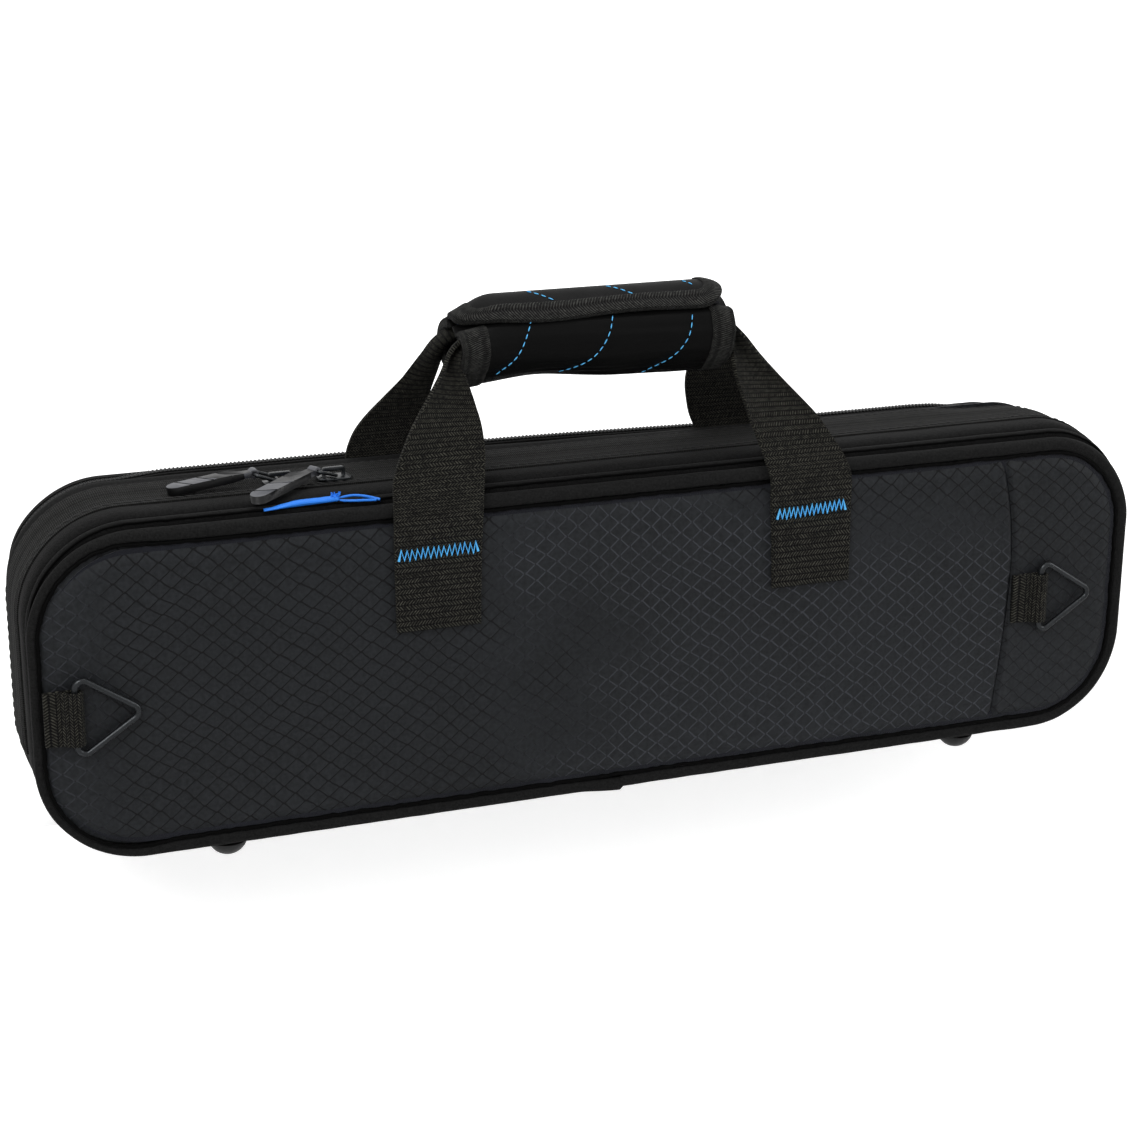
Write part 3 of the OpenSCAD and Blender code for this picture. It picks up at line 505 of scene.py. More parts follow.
def frontFace(x, z, onSeam=True):
    edge = max(0.0, edgeDistance(panelLine, x + leftPull(x), z))
    depth = front["tuck"] * (1 - ease(0, front["tuckWidth"], edge)) ** 1.5
    depth -= front["crown"] * ease(0, 38, edge)
    swell = 0.45 * wave(x, z, scale=55, seed=1.3) + 0.16 * wave(x, z, scale=17, seed=4.1)
    depth += swell * ease(0, 14, edge)
    if onSeam:
        away = abs(x - seamAt(z))
        depth += 0.95 * (1 - ease(0, 1.7, away)) - 0.32 * ease(0, 1.8, away) * (1 - ease(1.8, 7.0, away))
    return depth


def panelShape(line, low, high, face):
    def shape(u, v):
        z = line[3] + line[1] / 2 * sin(pi * (v - 0.5))
        half = halfLength(line, z)
        left, right = (-half if low is None else low(z)), (half if high is None else high(z))
        x = left + (right - left) * (0.35 * u + 0.65 * (1 - cos(pi * u)) / 2)
        if line is panelLine:
            x -= leftPull(x)
        return x, face(x, z), z
    return shape


for name, low, high, finishName, node, columns in (
        ("frontPanelCloth", None, lambda z: seamAt(z) - 0.12, "ripstop", "front_panel", 260),
        ("frontEndCloth", lambda z: seamAt(z) + 0.12, None, "ripstopEnd", "front_panel_end", 60)):
    panel = surface(name, columns, 96, panelShape(panelLine, low, high, frontFace), (408, 106))
    thicken(panel, 0.7, -1)
    finish(smooth(panel, 60), "lid", finishes[finishName], "ripstop", node)


def pipingSway(x, z, depth):
    # slow unevenness, and the lap of its two ends under the middle of the case
    lap = 1.1 * ease(-16, -1, x) * (1 - ease(0.2, 1.4, x)) if z < 30 else 0.0
    return 0.16 * wave(x, z, depth, 9, 2.2) + lap, 0.12 * wave(x, z, depth, 11, 5.2) - 0.4 * lap


def pipingSize(x):
    # outset, depth and radius: the piping is slimmer at the left end
    slim = ease(150, 200, -x)
    return 2.75 + 0.9 * slim, 2.75 + 0.2 * slim, 2.62 - 0.75 * slim


def pipingProfile(share):
    return roundProfile(*pipingSize(outlineAt(panelLine, share)[0]))


def onPiping(share, angle):
    # point on the piping's skin, its angle counted from outwards to the back
    x, z, nx, nz = outlineAt(panelLine, share)
    out, depth, reach = pipingSize(x)
    a = radians(angle)
    out, depth = out + reach * cos(a), depth + reach * sin(a)
    more, back = pipingSway(x, z, depth)
    return x + nx * (out + more), depth + back, z + nz * (out + more)


piping = band("frontPiping", panelLine, pipingProfile, 720, sway=pipingSway)
finish(piping, "lid", finishes["cover"], "cover", "front_piping")

# painted shadow: a ragged near-black roll laid along the dark gap between the front cloth and its piping
edgeShadowRoll = band("edgeShadowRoll", panelLine, lambda share: roundProfile(
    -0.15 + leftPull(outlineAt(panelLine, share)[0]), 1.15, 0.75, 8), 1400, sway=lambda x, z, d: (
    0.35 * wave(x, z, d, 2.3, 6.2) + 0.2 * wave(x, z, d, 6, 1.2), 0.3 * wave(x, z, d, 2.0, 3.2)))
finish(edgeShadowRoll, "lid", finishes["paintedLight"], "cover")
# painted shadow: a thin near-black roll laid in the groove beside the stitched strip
grooveShadowRoll = band("grooveShadowRoll", coverLine, roundProfile(-1.35, 5.55, 0.5, 8), 900, sway=lambda x, z, d: (
    0.2 * wave(x, z, d, 3.1, 6.2), 0.12 * wave(x, z, d, 3.0, 3.2)))
finish(grooveShadowRoll, "lid", finishes["paintedLight"], "cover")
strip = band("stitchedStrip", coverLine, dense([(-3.3, 5.6), (-1.3, 5.5), (-0.6, 6.3), (-0.5, 7.3),
    (-1.1, 8.3), (-3.3, 8.4)], 10) + [(-3.3, 5.6)], sway=lambda x, z, d: (0.1 * wave(x, z, d, 14), 0))
finish(strip, "lid", finishes["cover"], "cover", "lid_strip")
print("front made")

# cover of lid and body
def coverProfile(outer, inner, edge, channelEdge):
    # outer surface from the far edge to the zip; the zip's channel is open above the lower corners
    ends = zipEnd(coverLine)

    def profile(share):
        opened = ease(ends - 0.002, ends + 0.002, min(share, 1 - share))
        stop = edge + (channelEdge - edge) * opened
        limit = min if edge > outer[0][1] else max
        points = [(o, limit(depth, stop)) for o, depth in outer[:-1]] + [(outer[-1][0], stop)]
        first, last = points[0][1], points[-1][1]
        return points + [(-0.5, last), (inner, last), (inner, first), points[0]]
    return profile


lidOuter = dense([(-2.6, 9.8), (-1.2, 9.9), (0.1, 10.8), (0.75, 12.8), (0.9, 15.5), (0.75, 18), (0.3, 20),
    (0.05, 22)], 16)


def lidSway(x, z, d):
    return leftTuck(x, z) + 0.25 * wave(x, z, d, 22, 3.0) * ease(9, 12, d) * (1 - ease(17, 21, d)), 0


def bodySway(x, z, d):
    soft = 0.25 * wave(x, z, d, 22, 6.0) * ease(32, 36, d)
    drop = 2.0 * rearCorner(x, z) * ease(32, 46, d)
    return leftTuck(x, z) + soft - drop + 1.2 * leftTop(x, z) * ease(41, 47, d), 0


def tapeSway(x, z, d):
    soft = 0.09 * wave(x, z, d, 12, 8.0)
    whole = leftTuck(x, z) + soft - 1.4 * rearCorner(x, z) * ease(32, 41, d)
    return whole * ease(3.4, 6, abs(d - parting)), 0


lidProfile = coverProfile(lidOuter + [(0.0, 26.1)], -3.35, 26.1, 21.95)
lidCover = band("lidCover", coverLine, lidProfile, sway=lidSway)
finish(lidCover, "lid", finishes["cover"], "cover", "lid_cover")

bodyOuter = dense([(-2.6, 48.45), (-0.7, 48.4), (0.3, 47.5), (0.75, 45), (0.6, 42.5), (0.85, 39), (0.8, 35),
    (0.05, 31)], 16)
bodyProfile = coverProfile(bodyOuter + [(0.0, 26.9)], -3.35, 26.9, 31.05)
bodyCover = band("bodyCover", coverLine, bodyProfile, sway=bodySway)
finish(bodyCover, "body", finishes["cover"], "cover", "body_cover")

ends = zipEnd(coverLine)
for name, body, outer, node in (
        ("lidZipTape", "lid", [(1.25, 18.2), (1.35, 18.7), (1.2, 19.8), (0.8, 21.6), (0.7, 23),
            (0.68, 26.2), (0.5, 26.42)], "lid_zip_tape"),
        ("bodyZipTape", "body", [(1.3, 42.1), (1.5, 41.5), (1.55, 38.5), (1.4, 35), (0.8, 31.3), (0.7, 30),
            (0.68, 26.8), (0.5, 26.58)], "body_zip_tape")):
    outer = dense(outer, 16)
    thick = [(o - 0.62, d) for o, d in reversed(outer)]
    tape = band(name, coverLine, outer + thick + [outer[0]], 460, (ends, 1 - ends), sway=tapeSway)
    finish(tape, body, finishes["tape"], "zip_tape", node)
print("cover made")

# pocket at the back
def coilSink(x, z):
    # the coil sinks between the covers round the left end and the upper right corner
    return (-1.5 * (ease(150, 172, -x) + ease(148, 170, x) * ease(88, 106, z)) - rearCorner(x, z)
        + 1.9 * leftTop(x, z))


pocketBand = [(0, 50.35), (0.05, 51.2), (0.0, 52.4), (-0.8, 52.4), (-0.8, 50.35), (0, 50.35)]
finish(band("pocketTape", pocketLine, pocketBand, sway=lambda x, z, d: (coilSink(x, z), 0)), "body",
    finishes["cover"], "cover", "pocket_tape")
narrowing = 3.3                    # the gusset sinks by this from its coil to its back
pocketBack = inset(pocketLine, narrowing)
gussetOuter = dense([(0, 53.55), (0.1, 55.5), (0.5, 57.5), (0.7, 59), (0.3, 60.8), (-0.6, 61.7)], 12)
gussetInner = [(-1.6, 61.6), (-1.6, 56.5), (-0.8, 56.4), (-0.8, 53.55)]


def gussetSway(x, z, d):
    soft = 0.25 * wave(x, z, d, 22, 9.0) * ease(55, 58, d) - narrowing * ease(54.8, 62.5, d)
    return soft + (1.7 * leftTop(x, z) - 2.2 * rearCorner(x, z)) * (1 - ease(57, 62, d)), 0


gusset = band("pocketGusset", pocketLine, gussetOuter + gussetInner + [gussetOuter[0]], sway=gussetSway)
finish(gusset, "pocket", finishes["cover"], "cover", "pocket_gusset")
finish(band("pocketPiping", pocketBack, roundProfile(-2.0, 63.6, 1.95), sway=lambda x, z, d: (
    0.13 * wave(x, z, d, 9, 12.2), 0.1 * wave(x, z, d, 11, 15.2))), "pocket", finishes["cover"], "cover",
        "pocket_piping")


def backFace(x, z):
    edge = max(0.0, edgeDistance(inset(pocketBack, 4.1), x, z))
    soft = 0.5 * wave(x, z, scale=60, seed=21) + 0.15 * wave(x, z, scale=16, seed=24)
    return 64.1 + 0.95 * ease(0, 30, edge) + soft * ease(0, 12, edge)


backLine = inset(pocketBack, 3.95)
backPanel = surface("pocketPanel", 260, 96, panelShape(backLine, None, None, backFace), (405, 111))
thicken(backPanel, 0.7, 1)
finish(smooth(backPanel, 60), "pocket", finishes["ripstop"], "ripstop", "pocket_panel")
print("pocket made")

# stitches
def tube(name, path, radius, closed=False, sides=2):
    # round thread or wire along points in mm (x, depth, z)
    clearSelection()
    curve = bpy.data.curves.new(name, "CURVE")
    curve.dimensions = "3D"
    curve.bevel_depth = radius * mm
    curve.bevel_resolution = sides
    curve.use_fill_caps = True
    spline = curve.splines.new("POLY")
    spline.points.add(len(path) - 1)
    for point, (x, depth, z) in zip(spline.points, path):
        point.co = (x * mm, (depth - middleDepth) * mm, z * mm, 1)
    spline.use_cyclic_u = closed
    pick(added(name, curve))
    bpy.ops.object.convert(target="MESH")
    obj = bpy.context.object
    obj.name = obj.data.name = name
    return smooth(tidyMesh(obj), 60)


def joined(name, pieces):
    clearSelection()
    for piece in pieces:
        piece.select_set(True)
    bpy.context.view_layer.objects.active = pieces[0]
    if len(pieces) > 1:
        bpy.ops.object.join()
    obj = bpy.context.object
    obj.name = obj.data.name = name
    return obj


def beads(name, placings):
    # copies of one small thread with rounded ends, 1 mm long along x; each placing maps its points to mm
    clearSelection()
    bpy.ops.mesh.primitive_uv_sphere_add(segments=6, ring_count=5, radius=0.5, rotation=(0, pi / 2, 0))
    unit = bpy.context.object
    bpy.ops.object.transform_apply()
    coords = [v.co.copy() for v in unit.data.vertices]
    faces = [tuple(p.vertices) for p in unit.data.polygons]
    bpy.data.objects.remove(unit)
    vertices, polygons = [], []
    for placing in placings:
        start = len(vertices)
        vertices += [placing(c) * mm for c in coords]
        polygons += [tuple(start + i for i in face) for face in faces]
    mesh = bpy.data.meshes.new(name)
    mesh.from_pydata(vertices, [], polygons)
    return tidyMesh(added(name, mesh), merge=1e-7, fill=False)


def stitchFrom(a, b, radius):
    middle, along = (a + b) / 2, (b - a).normalized()
    side = along.cross(Vector((0.31, -0.55, 0.77))).normalized()
    up = along.cross(side)

    def placing(c):
        squash = 1.0 - 0.25 * abs(2 * c.x) ** 3
        return middle + along * c.x * (b - a).length * 1.06 + (side * c.y + up * c.z) * 2 * radius * squash
    return placing


def stitches(name, lines, length, gap, radius):
    # lines is a list of dense paths in mm; each stitch lies along its path
    placings = []
    for line in lines:
        line = [Vector((x, depth - middleDepth, z)) for x, depth, z in line]
        runs = [0.0]
        for a, b in zip(line, line[1:]):
            runs.append(runs[-1] + (b - a).length)

        def at(run):
            i = max(0, min(len(line) - 2, next((k for k, r in enumerate(runs) if r > run), len(runs)) - 1))
            return line[i].lerp(line[i + 1], (run - runs[i]) / max(1e-9, runs[i + 1] - runs[i]))

        run = 0.2
        while run + length < runs[-1]:
            placings.append(stitchFrom(at(run), at(run + length), radius))
            run += length + gap
    return smooth(beads(name, placings), 80)


def outlinePath(line, outset, depth, span=(0.0, 1.0), count=900):
    path = []
    for i in range(count + 1):
        x, z, nx, nz = outlineAt(line, span[0] + (span[1] - span[0]) * i / count)
        out = outset + leftTuck(x, z) - 1.3 * rearCorner(x, z) * ease(36, 40, depth)
        path.append((x + nx * out, depth, z + nz * out))
    return path


seams = {"front": 20.6, "pinch": 22.6, "rear": 40.9}
finish(stitches("pipingStitches", [[onPiping(i / 900, 50) for i in range(901)]], 2.2, 1.3, 0.15), "lid",
       finishes["paleThread"], "cover")
finish(stitches("lidTapeStitches", [outlinePath(coverLine, out, depth, (ends, 1 - ends)) for out, depth in (
    (1.3, seams["front"]), (0.95, seams["pinch"]))], 2.2, 1.3, 0.22), "lid", finishes["blackThread"],
        "zip_tape")
finish(stitches("bodyTapeStitches", [outlinePath(coverLine, 1.6, seams["rear"], (ends, 1 - ends))], 2.2,
    1.3, 0.22), "body", finishes["blackThread"], "zip_tape")


def coilRow(name, body, node, first, side):
    # beads of the pocket's nylon coil along its cord
    bead = {"pitch": 1.45, "width": 0.42, "long": 1.4, "high": 0.55}
    pocketEnds = zipEnd(pocketLine)
    count = int(girth(pocketLine) * (1 - 2 * pocketEnds) / bead["pitch"])

    def beadAt(share):
        x, z, nx, nz = outlineAt(pocketLine, share)
        reach = 0.5 + coilSink(x, z)
        middle = Vector((x + nx * reach, first + side * 0.9, z + nz * reach))
        along, out = Vector((nz, 0, -nx)), Vector((nx, 0, nz))

        def placing(c):
            point = (middle + Vector((0, c.x * 2 * bead["long"], 0))
                     + along * c.y * 2 * bead["width"] + out * c.z * 2 * bead["high"])
            return point - Vector((0, middleDepth, 0))
        return placing

    coil = beads(name, [beadAt(pocketEnds + (1 - 2 * pocketEnds) * (i + 0.5 * (side > 0)) / count)
                        for i in range(count)])
    cord = band("coilCord", pocketLine, roundProfile(0.3, first + side * 0.9, 0.42, 8), 460,
                (pocketEnds, 1 - pocketEnds), sway=lambda x, z, d: (coilSink(x, z), 0))
    finish(smooth(joined(name, [coil, cord]), 60), body, finishes["coil"], "zip_teeth", node)


coilRow("pocketCoilFront", "body", "pocket_teeth", 51.5, 1)
coilRow("pocketCoilBack", "pocket", "pocket_panel_teeth", 54.5, -1)
print("stitches and coil made")

# carry handles
handle = {"middle": (parting, 170.0), "radius": 16.5, "left": -55.0, "right": 45.4, "webbing": 1.4}


def strapLeg(name, left, right, bulge, body, node, rows=90):
    # webbing between two edges that draw together as they rise, its middle standing proud
    def shape(u, v):
        a, b = through(left, v), through(right, v)
        point = a.lerp(b, u)
        chord = b - a
        along = (through(left, min(1, v + 0.01)) - through(left, max(0, v - 0.01))
                 + through(right, min(1, v + 0.01)) - through(right, max(0, v - 0.01)))
        out = along.cross(chord).normalized()
        point += out * (bulge * ease(0.4, 1.0, v) * 4 * u * (1 - u)
                        + 0.25 * ease(0.3, 0.7, v) * wave(point.x, point.y, point.z, 9, 3.3))
        return tuple(point)

    run = sum((Vector(b) - Vector(a)).length for a, b in zip(left, left[1:]))
    obj = surface(name, 24, rows, shape, (30, run))
    thicken(obj, handle["webbing"], 0)
    bevel(obj, 0.45, 2, 50)
    return smooth(obj, 50)


def onFront(x, z, lift=0.9):
    return (x, min(frontFace(x, z, False), 0.4 if z < 113 else 0.0) - lift if z < 116 else -1.1, z)


frontLeft = strapLeg("strapFrontLeft", [onFront(-84.6, 77.6), onFront(-84.8, 88), onFront(-84.9, 98),
    onFront(-85, 108), (-85, -1.3, 117.5), (-84.8, -0.3, 124), (-84.2, 1.2, 131), (-81, 3, 139),
    (-76, 5.4, 148), (-69.5, 8.5, 156.5), (-63.5, 12, 164), (-58.5, 15.5, 171), (-50, 17.5, 177)],
    [onFront(-54.4, 77.6), onFront(-54.3, 88), onFront(-54, 98), onFront(-53.6, 108), (-53.2, -1.3, 117.5),
    (-52.6, -0.2, 124), (-51.6, 1.6, 131), (-50.9, 3.6, 139), (-51.2, 6.2, 147), (-52.5, 9.2, 154),
    (-54.3, 13, 162), (-54.5, 16.2, 168), (-50, 17.5, 172)], 4.0, "lid", "front_strap")
frontRight = strapLeg("strapFrontRight", [onFront(57.4, 77.6), onFront(57.1, 88), onFront(56.8, 98),
    onFront(56.3, 108), (55.8, -1.3, 117.5), (54.6, 0.6, 124), (52.8, 3.4, 131), (50.6, 6.6, 139),
    (48.6, 9.4, 147), (47, 12, 154), (46.5, 14.6, 161), (46.5, 16.5, 167), (42, 17.5, 172)],
    [onFront(88, 77.6), onFront(88, 88), onFront(88, 98), onFront(88, 108), (87.6, -1.3, 117.5),
    (85.6, 0.2, 124), (81.6, 2.6, 131), (76.6, 5.4, 139), (70.2, 8, 146.5), (63.6, 10.8, 153.5),
    (57, 13.8, 161), (51, 16.2, 168.5), (42, 17.5, 177)], 3.5, "lid", "front_strap")
rearLeft = strapLeg("strapRearLeft", [(-88, 49.3, 123.4), (-87.6, 49.2, 127), (-86.6, 48.9, 131.5),
    (-84.2, 48.1, 137), (-80, 46.2, 143), (-74.5, 43.6, 149.5), (-68, 40.6, 157.5), (-62.5, 38, 165),
    (-58, 36, 171), (-50, 35.4, 176)], [(-58, 49.3, 123.4), (-58, 49.1, 127), (-58.2, 48.3, 132),
    (-58.6, 46.8, 137.5), (-59, 44.8, 143), (-58.6, 42.4, 149), (-57.4, 39.6, 156), (-56, 37, 163),
    (-54.5, 35.6, 168), (-50, 35.4, 171)], -3.5, "body", "rear_strap", 70)
rearRight = strapLeg("strapRearRight", [(49, 49.3, 123.4), (47.2, 49.1, 127), (44.8, 48.2, 132),
    (42.8, 46.3, 138), (41, 43.6, 144), (40.4, 41, 150), (41.4, 38.6, 156.5), (43.6, 36.6, 163),
    (45.5, 35.6, 168), (42, 35.4, 171)], [(79, 49.3, 123.4), (78.6, 49.1, 127), (77.2, 48.4, 132),
    (74.6, 47, 137.5), (70.8, 45, 143), (65.6, 42.6, 149.5), (59.6, 39.8, 157), (54.6, 37.4, 164.5),
    (50.5, 36, 170.5), (42, 35.4, 176)], -3.5, "body", "rear_strap", 70)
frontStraps = joined("frontStraps", [frontLeft, frontRight])
finish(frontStraps, "lid", finishes["webbing"], "webbing", "front_strap")
rearStraps = joined("rearStraps", [rearLeft, rearRight])
finish(rearStraps, "body", finishes["webbing"], "webbing", "rear_strap")

tack = {"turns": 30, "half": 1.8, "radius": 0.47}
tacks = []
for low, high, level, tilt in ((-83.6, -55.2, 105.3, 0.4), (58.4, 85.6, 105.4, 1.4)):
    path = []
    for i in range(tack["turns"] + 1):
        x = low + (high - low) * i / tack["turns"]
        turn = tack["half"] if i % 2 else -tack["half"]
        z = level + tilt * (x - low) / (high - low) + turn + random.uniform(-0.3, 0.3)
        path.append((x + random.uniform(-0.2, 0.2), onFront(x, z)[1] - 0.85, z))
    tacks.append(tube("tack", path, tack["radius"]))
finish(joined("barTacks", tacks), "lid", finishes["thread"], "blue_ribbon")


def slump(x, angle):
    # the wrap sinks over the straps at its left end, and a little at its right end; its foot is drawn up
    upper = 1 - ease(30, 95, abs(angle))
    lower = ease(80, 150, abs(angle))
    return (upper * (6.2 * ease(38, 57, -x) ** 1.3 + 1.4 * ease(38, 46, x))
            + lower * (2.4 + 1.8 * ease(-5, 30, -x)))


def onWrap(x, angle, radius):
    radius -= slump(x, angle)
    a = radians(angle)
    return x, handle["middle"][0] - radius * sin(a), handle["middle"][1] + radius * cos(a)


def sag(x, angle):
    # the pad is soft: its foot hangs in slow waves, its left end droops
    low = ease(90, 175, angle)
    droop = 2.0 * ease(18, 48, -x) * ease(95, 170, angle)
    creases = 0.4 * wave(x / 3.5, angle, scale=9, seed=2.5) * ease(58, 80, angle)
    return (0.8 * wave(x, angle, scale=34, seed=5.5) * ease(60, 100, angle)
        + low * (0.2 + 0.7 * sin(x / 15.0)) + droop + creases)


pad = {"rear": 16.3, "under": 13.4, "swell": 2.9, "thick": 3.4}


def padRadius(x, angle):
    # the front half is lower under the flap, and sags
    return pad["under"] + pad["swell"] * ease(42, 60, angle) + sag(x, angle)


def rearRadius(x, angle):
    return pad["rear"]


def padPiece(name, start, end, radius):
    def shape(u, v):
        x = handle["left"] + (handle["right"] - handle["left"]) * u
        angle = start + (end - start) * v
        bulgeEnds = 1 - 0.9 * (1 - ease(0, 0.05, min(u, 1 - u)))
        return onWrap(x, angle, radius(x, angle) - 0.7 * (1 - bulgeEnds))
    span = radians(abs(end - start)) * handle["radius"]
    obj = surface(name, 96, 64, shape, (108, span))
    thicken(obj, pad["thick"], 1 if end > start else -1)
    bevel(obj, pad["thick"] * 0.33, 3, 50)
    return smooth(obj, 50)


wrapFront = padPiece("wrapFront", 4, 177.5, padRadius)
finish(wrapFront, "lid", finishes["satin"], "wrap_satin", "handle_pad")
wrapRear = padPiece("wrapRear", -26, -177.5, rearRadius)
finish(wrapRear, "body", finishes["satin"], "wrap_satin", "rear_pad")
print("straps and wrap made")

# flap of the wrap, bound with tape along its edge and ends
flap = {"radius": 16.9, "thickness": 1.7, "hinge": -20.0, "edge": 49.0, "corner": 11.0, "tape": 6.6,
    "short": 1.2}
flapRun = radians(flap["edge"] - flap["hinge"]) * flap["radius"]


def flapLift(x, run):
    # the right end bows up a little, the left end lies down
    free = ease(0.25, 1.0, run / flapRun)
    return 0.25 + 0.7 * ease(18, 44, x) * free + 0.3 * wave(x, run, scale=22,
        seed=9.4) * free - 0.2 * ease(30, 52, -x) * free


def onFlap(x, run, lift=0.0):
    # the edge hangs lower left of the middle and is drawn up at the right end
    dip = 1.7 * exp(-((x + 24) / 17) ** 2) - 0.9 * ease(36, 50, -x) + 0.8 * ease(12, 34, x)
    run += dip * ease(0.35, 1.0, run / flapRun)
    return onWrap(x, flap["hinge"] + degrees(run / flap["radius"]), flap["radius"] + flapLift(x, run) + lift)


def flapEnds(run):
    over = run - (flapRun - flap["corner"])
    trim = 0 if over <= 0 else flap["corner"] - sqrt(max(0, flap["corner"] ** 2 - over ** 2))
    return handle["left"] + trim, handle["right"] - flap["short"] - trim


def flapShape(u, v):
    run = flapRun * sin(pi / 2 * v) * 0.992
    low, high = flapEnds(run)
    x = low + 0.5 + (high - low - 1.0) * (0.4 * u + 0.6 * (1 - cos(pi * u)) / 2)
    return onFlap(x, run)


wrapFlap = surface("wrapFlap", 100, 44, flapShape, (108, flapRun))
thicken(wrapFlap, flap["thickness"], 1)
finish(smooth(wrapFlap, 60), "flap", finishes["satin"], "wrap_satin", "handle_flap", "hook_patch")


def edgePath(count):
    # along the left end, round both corners and up the right end: x, run, direction inwards
    c, low, high = flap["corner"], handle["left"], handle["right"] - flap["short"]
    side, across, arc = flapRun - c, high - low - 2 * c, pi * c / 2
    total, found = 2 * side + across + 2 * arc, []
    for i in range(count + 1):
        t = total * i / count
        if t < side:
            found.append((low, t, 1, 0))
        elif t < side + arc:
            a = (t - side) / c
            found.append((low + c - c * cos(a), side + c * sin(a), cos(a), -sin(a)))
        elif t < side + arc + across:
            found.append((low + c + t - side - arc, flapRun, 0, -1))
        elif t < side + 2 * arc + across:
            a = (t - side - arc - across) / c
            found.append((high - c + c * sin(a), side + c * cos(a), -sin(a), -cos(a)))
        else:
            found.append((high, total - t, -1, 0))
    return found, total


def boundEdge(name, path, total, onSurface, width, under, top=0.55):
    # tape folded over an edge: out over the top, round the rim and back below
    section = dense([(width, 0.05), (width - 0.5, top), (width * 0.5, top + 0.12), (1.0, top), (-0.15, 0.2),
        (-0.35, -under / 2), (-0.15, -under - 0.2), (1.0, -under - 0.5), (width * 0.6, -under - 0.45)], 20)
    back = [(width * 0.6, -under + 0.05), (1.2, -under), (0.25, -under / 2), (1.2, -0.05)]
    ring = section + back + [section[0]]

    def shape(u, v):
        x, run, dx, dr = path[round(u * (len(path) - 1))]
        inward, lift = ring[round(v * (len(ring) - 1))]
        return onSurface(x + dx * inward, run + dr * inward, lift)

    obj = surface(name, len(path) - 1, len(ring) - 1, shape, (total, 2 * width))
    return smooth(tidyMesh(obj), 50)


path, total = edgePath(200)
finish(boundEdge("flapBinding", path, total, onFlap, flap["tape"], flap["thickness"]), "flap",
    finishes["binding"], "binding", "flap_binding")
for name, body, node, start, end, radius in (("wrapEndTapes", "lid", "handle_binding", 47, 176, padRadius),
        ("rearEndTapes", "body", "rear_binding", -27, -176, rearRadius)):
    tapes = []
    for x, inward in ((handle["left"], 1), (handle["right"], -1)):
        count = 60
        path = [(x, start + (end - start) * i / count, inward, 0) for i in range(count + 1)]

        def onPad(px, angle, lift):
            return onWrap(px, angle, radius(px, angle) + lift)
        tapes.append(boundEdge("endTape", path, 60, onPad, 8.8, pad["thick"], 0.5))
    finish(joined(name, tapes), body, finishes["binding"], "binding", node)
patch = surface("hookTape", 60, 10, lambda u, v: onWrap(-46 + 88 * u, 16 + 26 * v, 13.95), (88, 8))
thicken(patch, 0.5, 0)
finish(smooth(patch), "lid", finishes["plush"], "binding", "loop_patch")


def wrapStitchLine(points):
    return [onWrap(*through(points, i / 60)) for i in range(61)]


def padStitch(points):
    return wrapStitchLine([(x, a, 16.45 + sag(x, a)) for x, a in points])


def flapStitch(points):
    return wrapStitchLine([
        (x, a, flap["radius"] + 0.15 + flapLift(x, radians(a - flap["hinge"]) * flap["radius"]))
            for x, a in points])


finish(stitches("wrapStitches", [
    padStitch([(-30.2, 50), (-32.4, 68), (-36.4, 96), (-40.4, 118), (-43.8, 139)]),
    padStitch([(-0.4, 54), (-2.6, 76), (-7.4, 102), (-13.6, 126), (-18.5, 146)]),
    padStitch([(29.4, 60), (27.4, 86), (22.6, 114), (17, 138), (13.5, 156)])], 2.0, 0.9, 0.21), "lid",
        finishes["thread"], "blue_ribbon")
finish(stitches("flapStitches", [
    flapStitch([(-27.6, 0), (-25.8, 8), (-23.6, 16), (-21.4, 24), (-19.6, 29)]),
    flapStitch([(2.0, 0), (4, 8), (6.2, 16), (8.4, 24), (10.2, 29)]),
    flapStitch([(31, 1), (32, 8), (33, 14), (33.4, 19), (33.8, 22)])], 2.0, 0.9, 0.21), "flap",
        finishes["thread"], "blue_ribbon")
print("flap made")

# rings and their tabs
ringDepth, ringHeight = -2.85, 61.5
for name, x, node, reach in (("tabLeft", -195.5, "ring_tab_left", 10.5),
        ("tabRight", 170.0, "ring_tab_right", 11.5)):
    loop = dense([(-reach, -0.75), (-5, -0.75), (-1.5, -0.72), (0.8, -0.95), (2.0, -2.0), (2.1, -3.4),
        (1.0, -4.75), (-0.6, -4.95), (-2.4, -4.0), (-4.2, -2.7), (-6.5, -2.1), (-reach, -2.0)], 44)

    def tabShape(u, v):
        along, depth = loop[round(u * 44)]
        return x + along, depth + 0.12 * wave(u * 20, v * 19, scale=7, seed=3), ringHeight - 9.5 + 19 * v

    tab = surface(name, 44, 24, tabShape, (30, 19))
    layer = tab.data.uv_layers.active.data
    layer.foreach_set("uv", [c for d in layer for c in (d.uv[1], d.uv[0])])
    thicken(tab, 1.05, 0)
    bevel(tab, 0.35, 2, 50)
    finish(smooth(tab, 50), "lid", finishes["webbing"], "webbing", node)


ring = {"long": 23.0, "high": 28.0, "wire": 1.15, "bend": 2.6, "steps": 9, "left": -195.6, "right": 169.9}


def ringPath(x):
    # triangle of wire with its bar at x and its point towards +x
    top = ring["high"] / 2 - ring["wire"] - ring["bend"]
    tip = ring["long"] - 2 * ring["wire"] - 2 * ring["bend"]
    slope = atan2(top, tip)
    path = [(x, ringDepth, ringHeight + top * k / 4) for k in range(-3, 4)]
    for middle, start, turn in (((ring["bend"], top), pi, -pi / 2 - slope),
                                ((ring["bend"] + tip, 0), pi / 2 - slope, 2 * slope - pi),
                                ((ring["bend"], -top), slope - pi / 2, -pi / 2 - slope)):
        for k in range(ring["steps"] + 1):
            a = start + turn * k / ring["steps"]
            path.append((x + middle[0] + ring["bend"] * cos(a), ringDepth,
                         ringHeight + middle[1] + ring["bend"] * sin(a)))
    return path


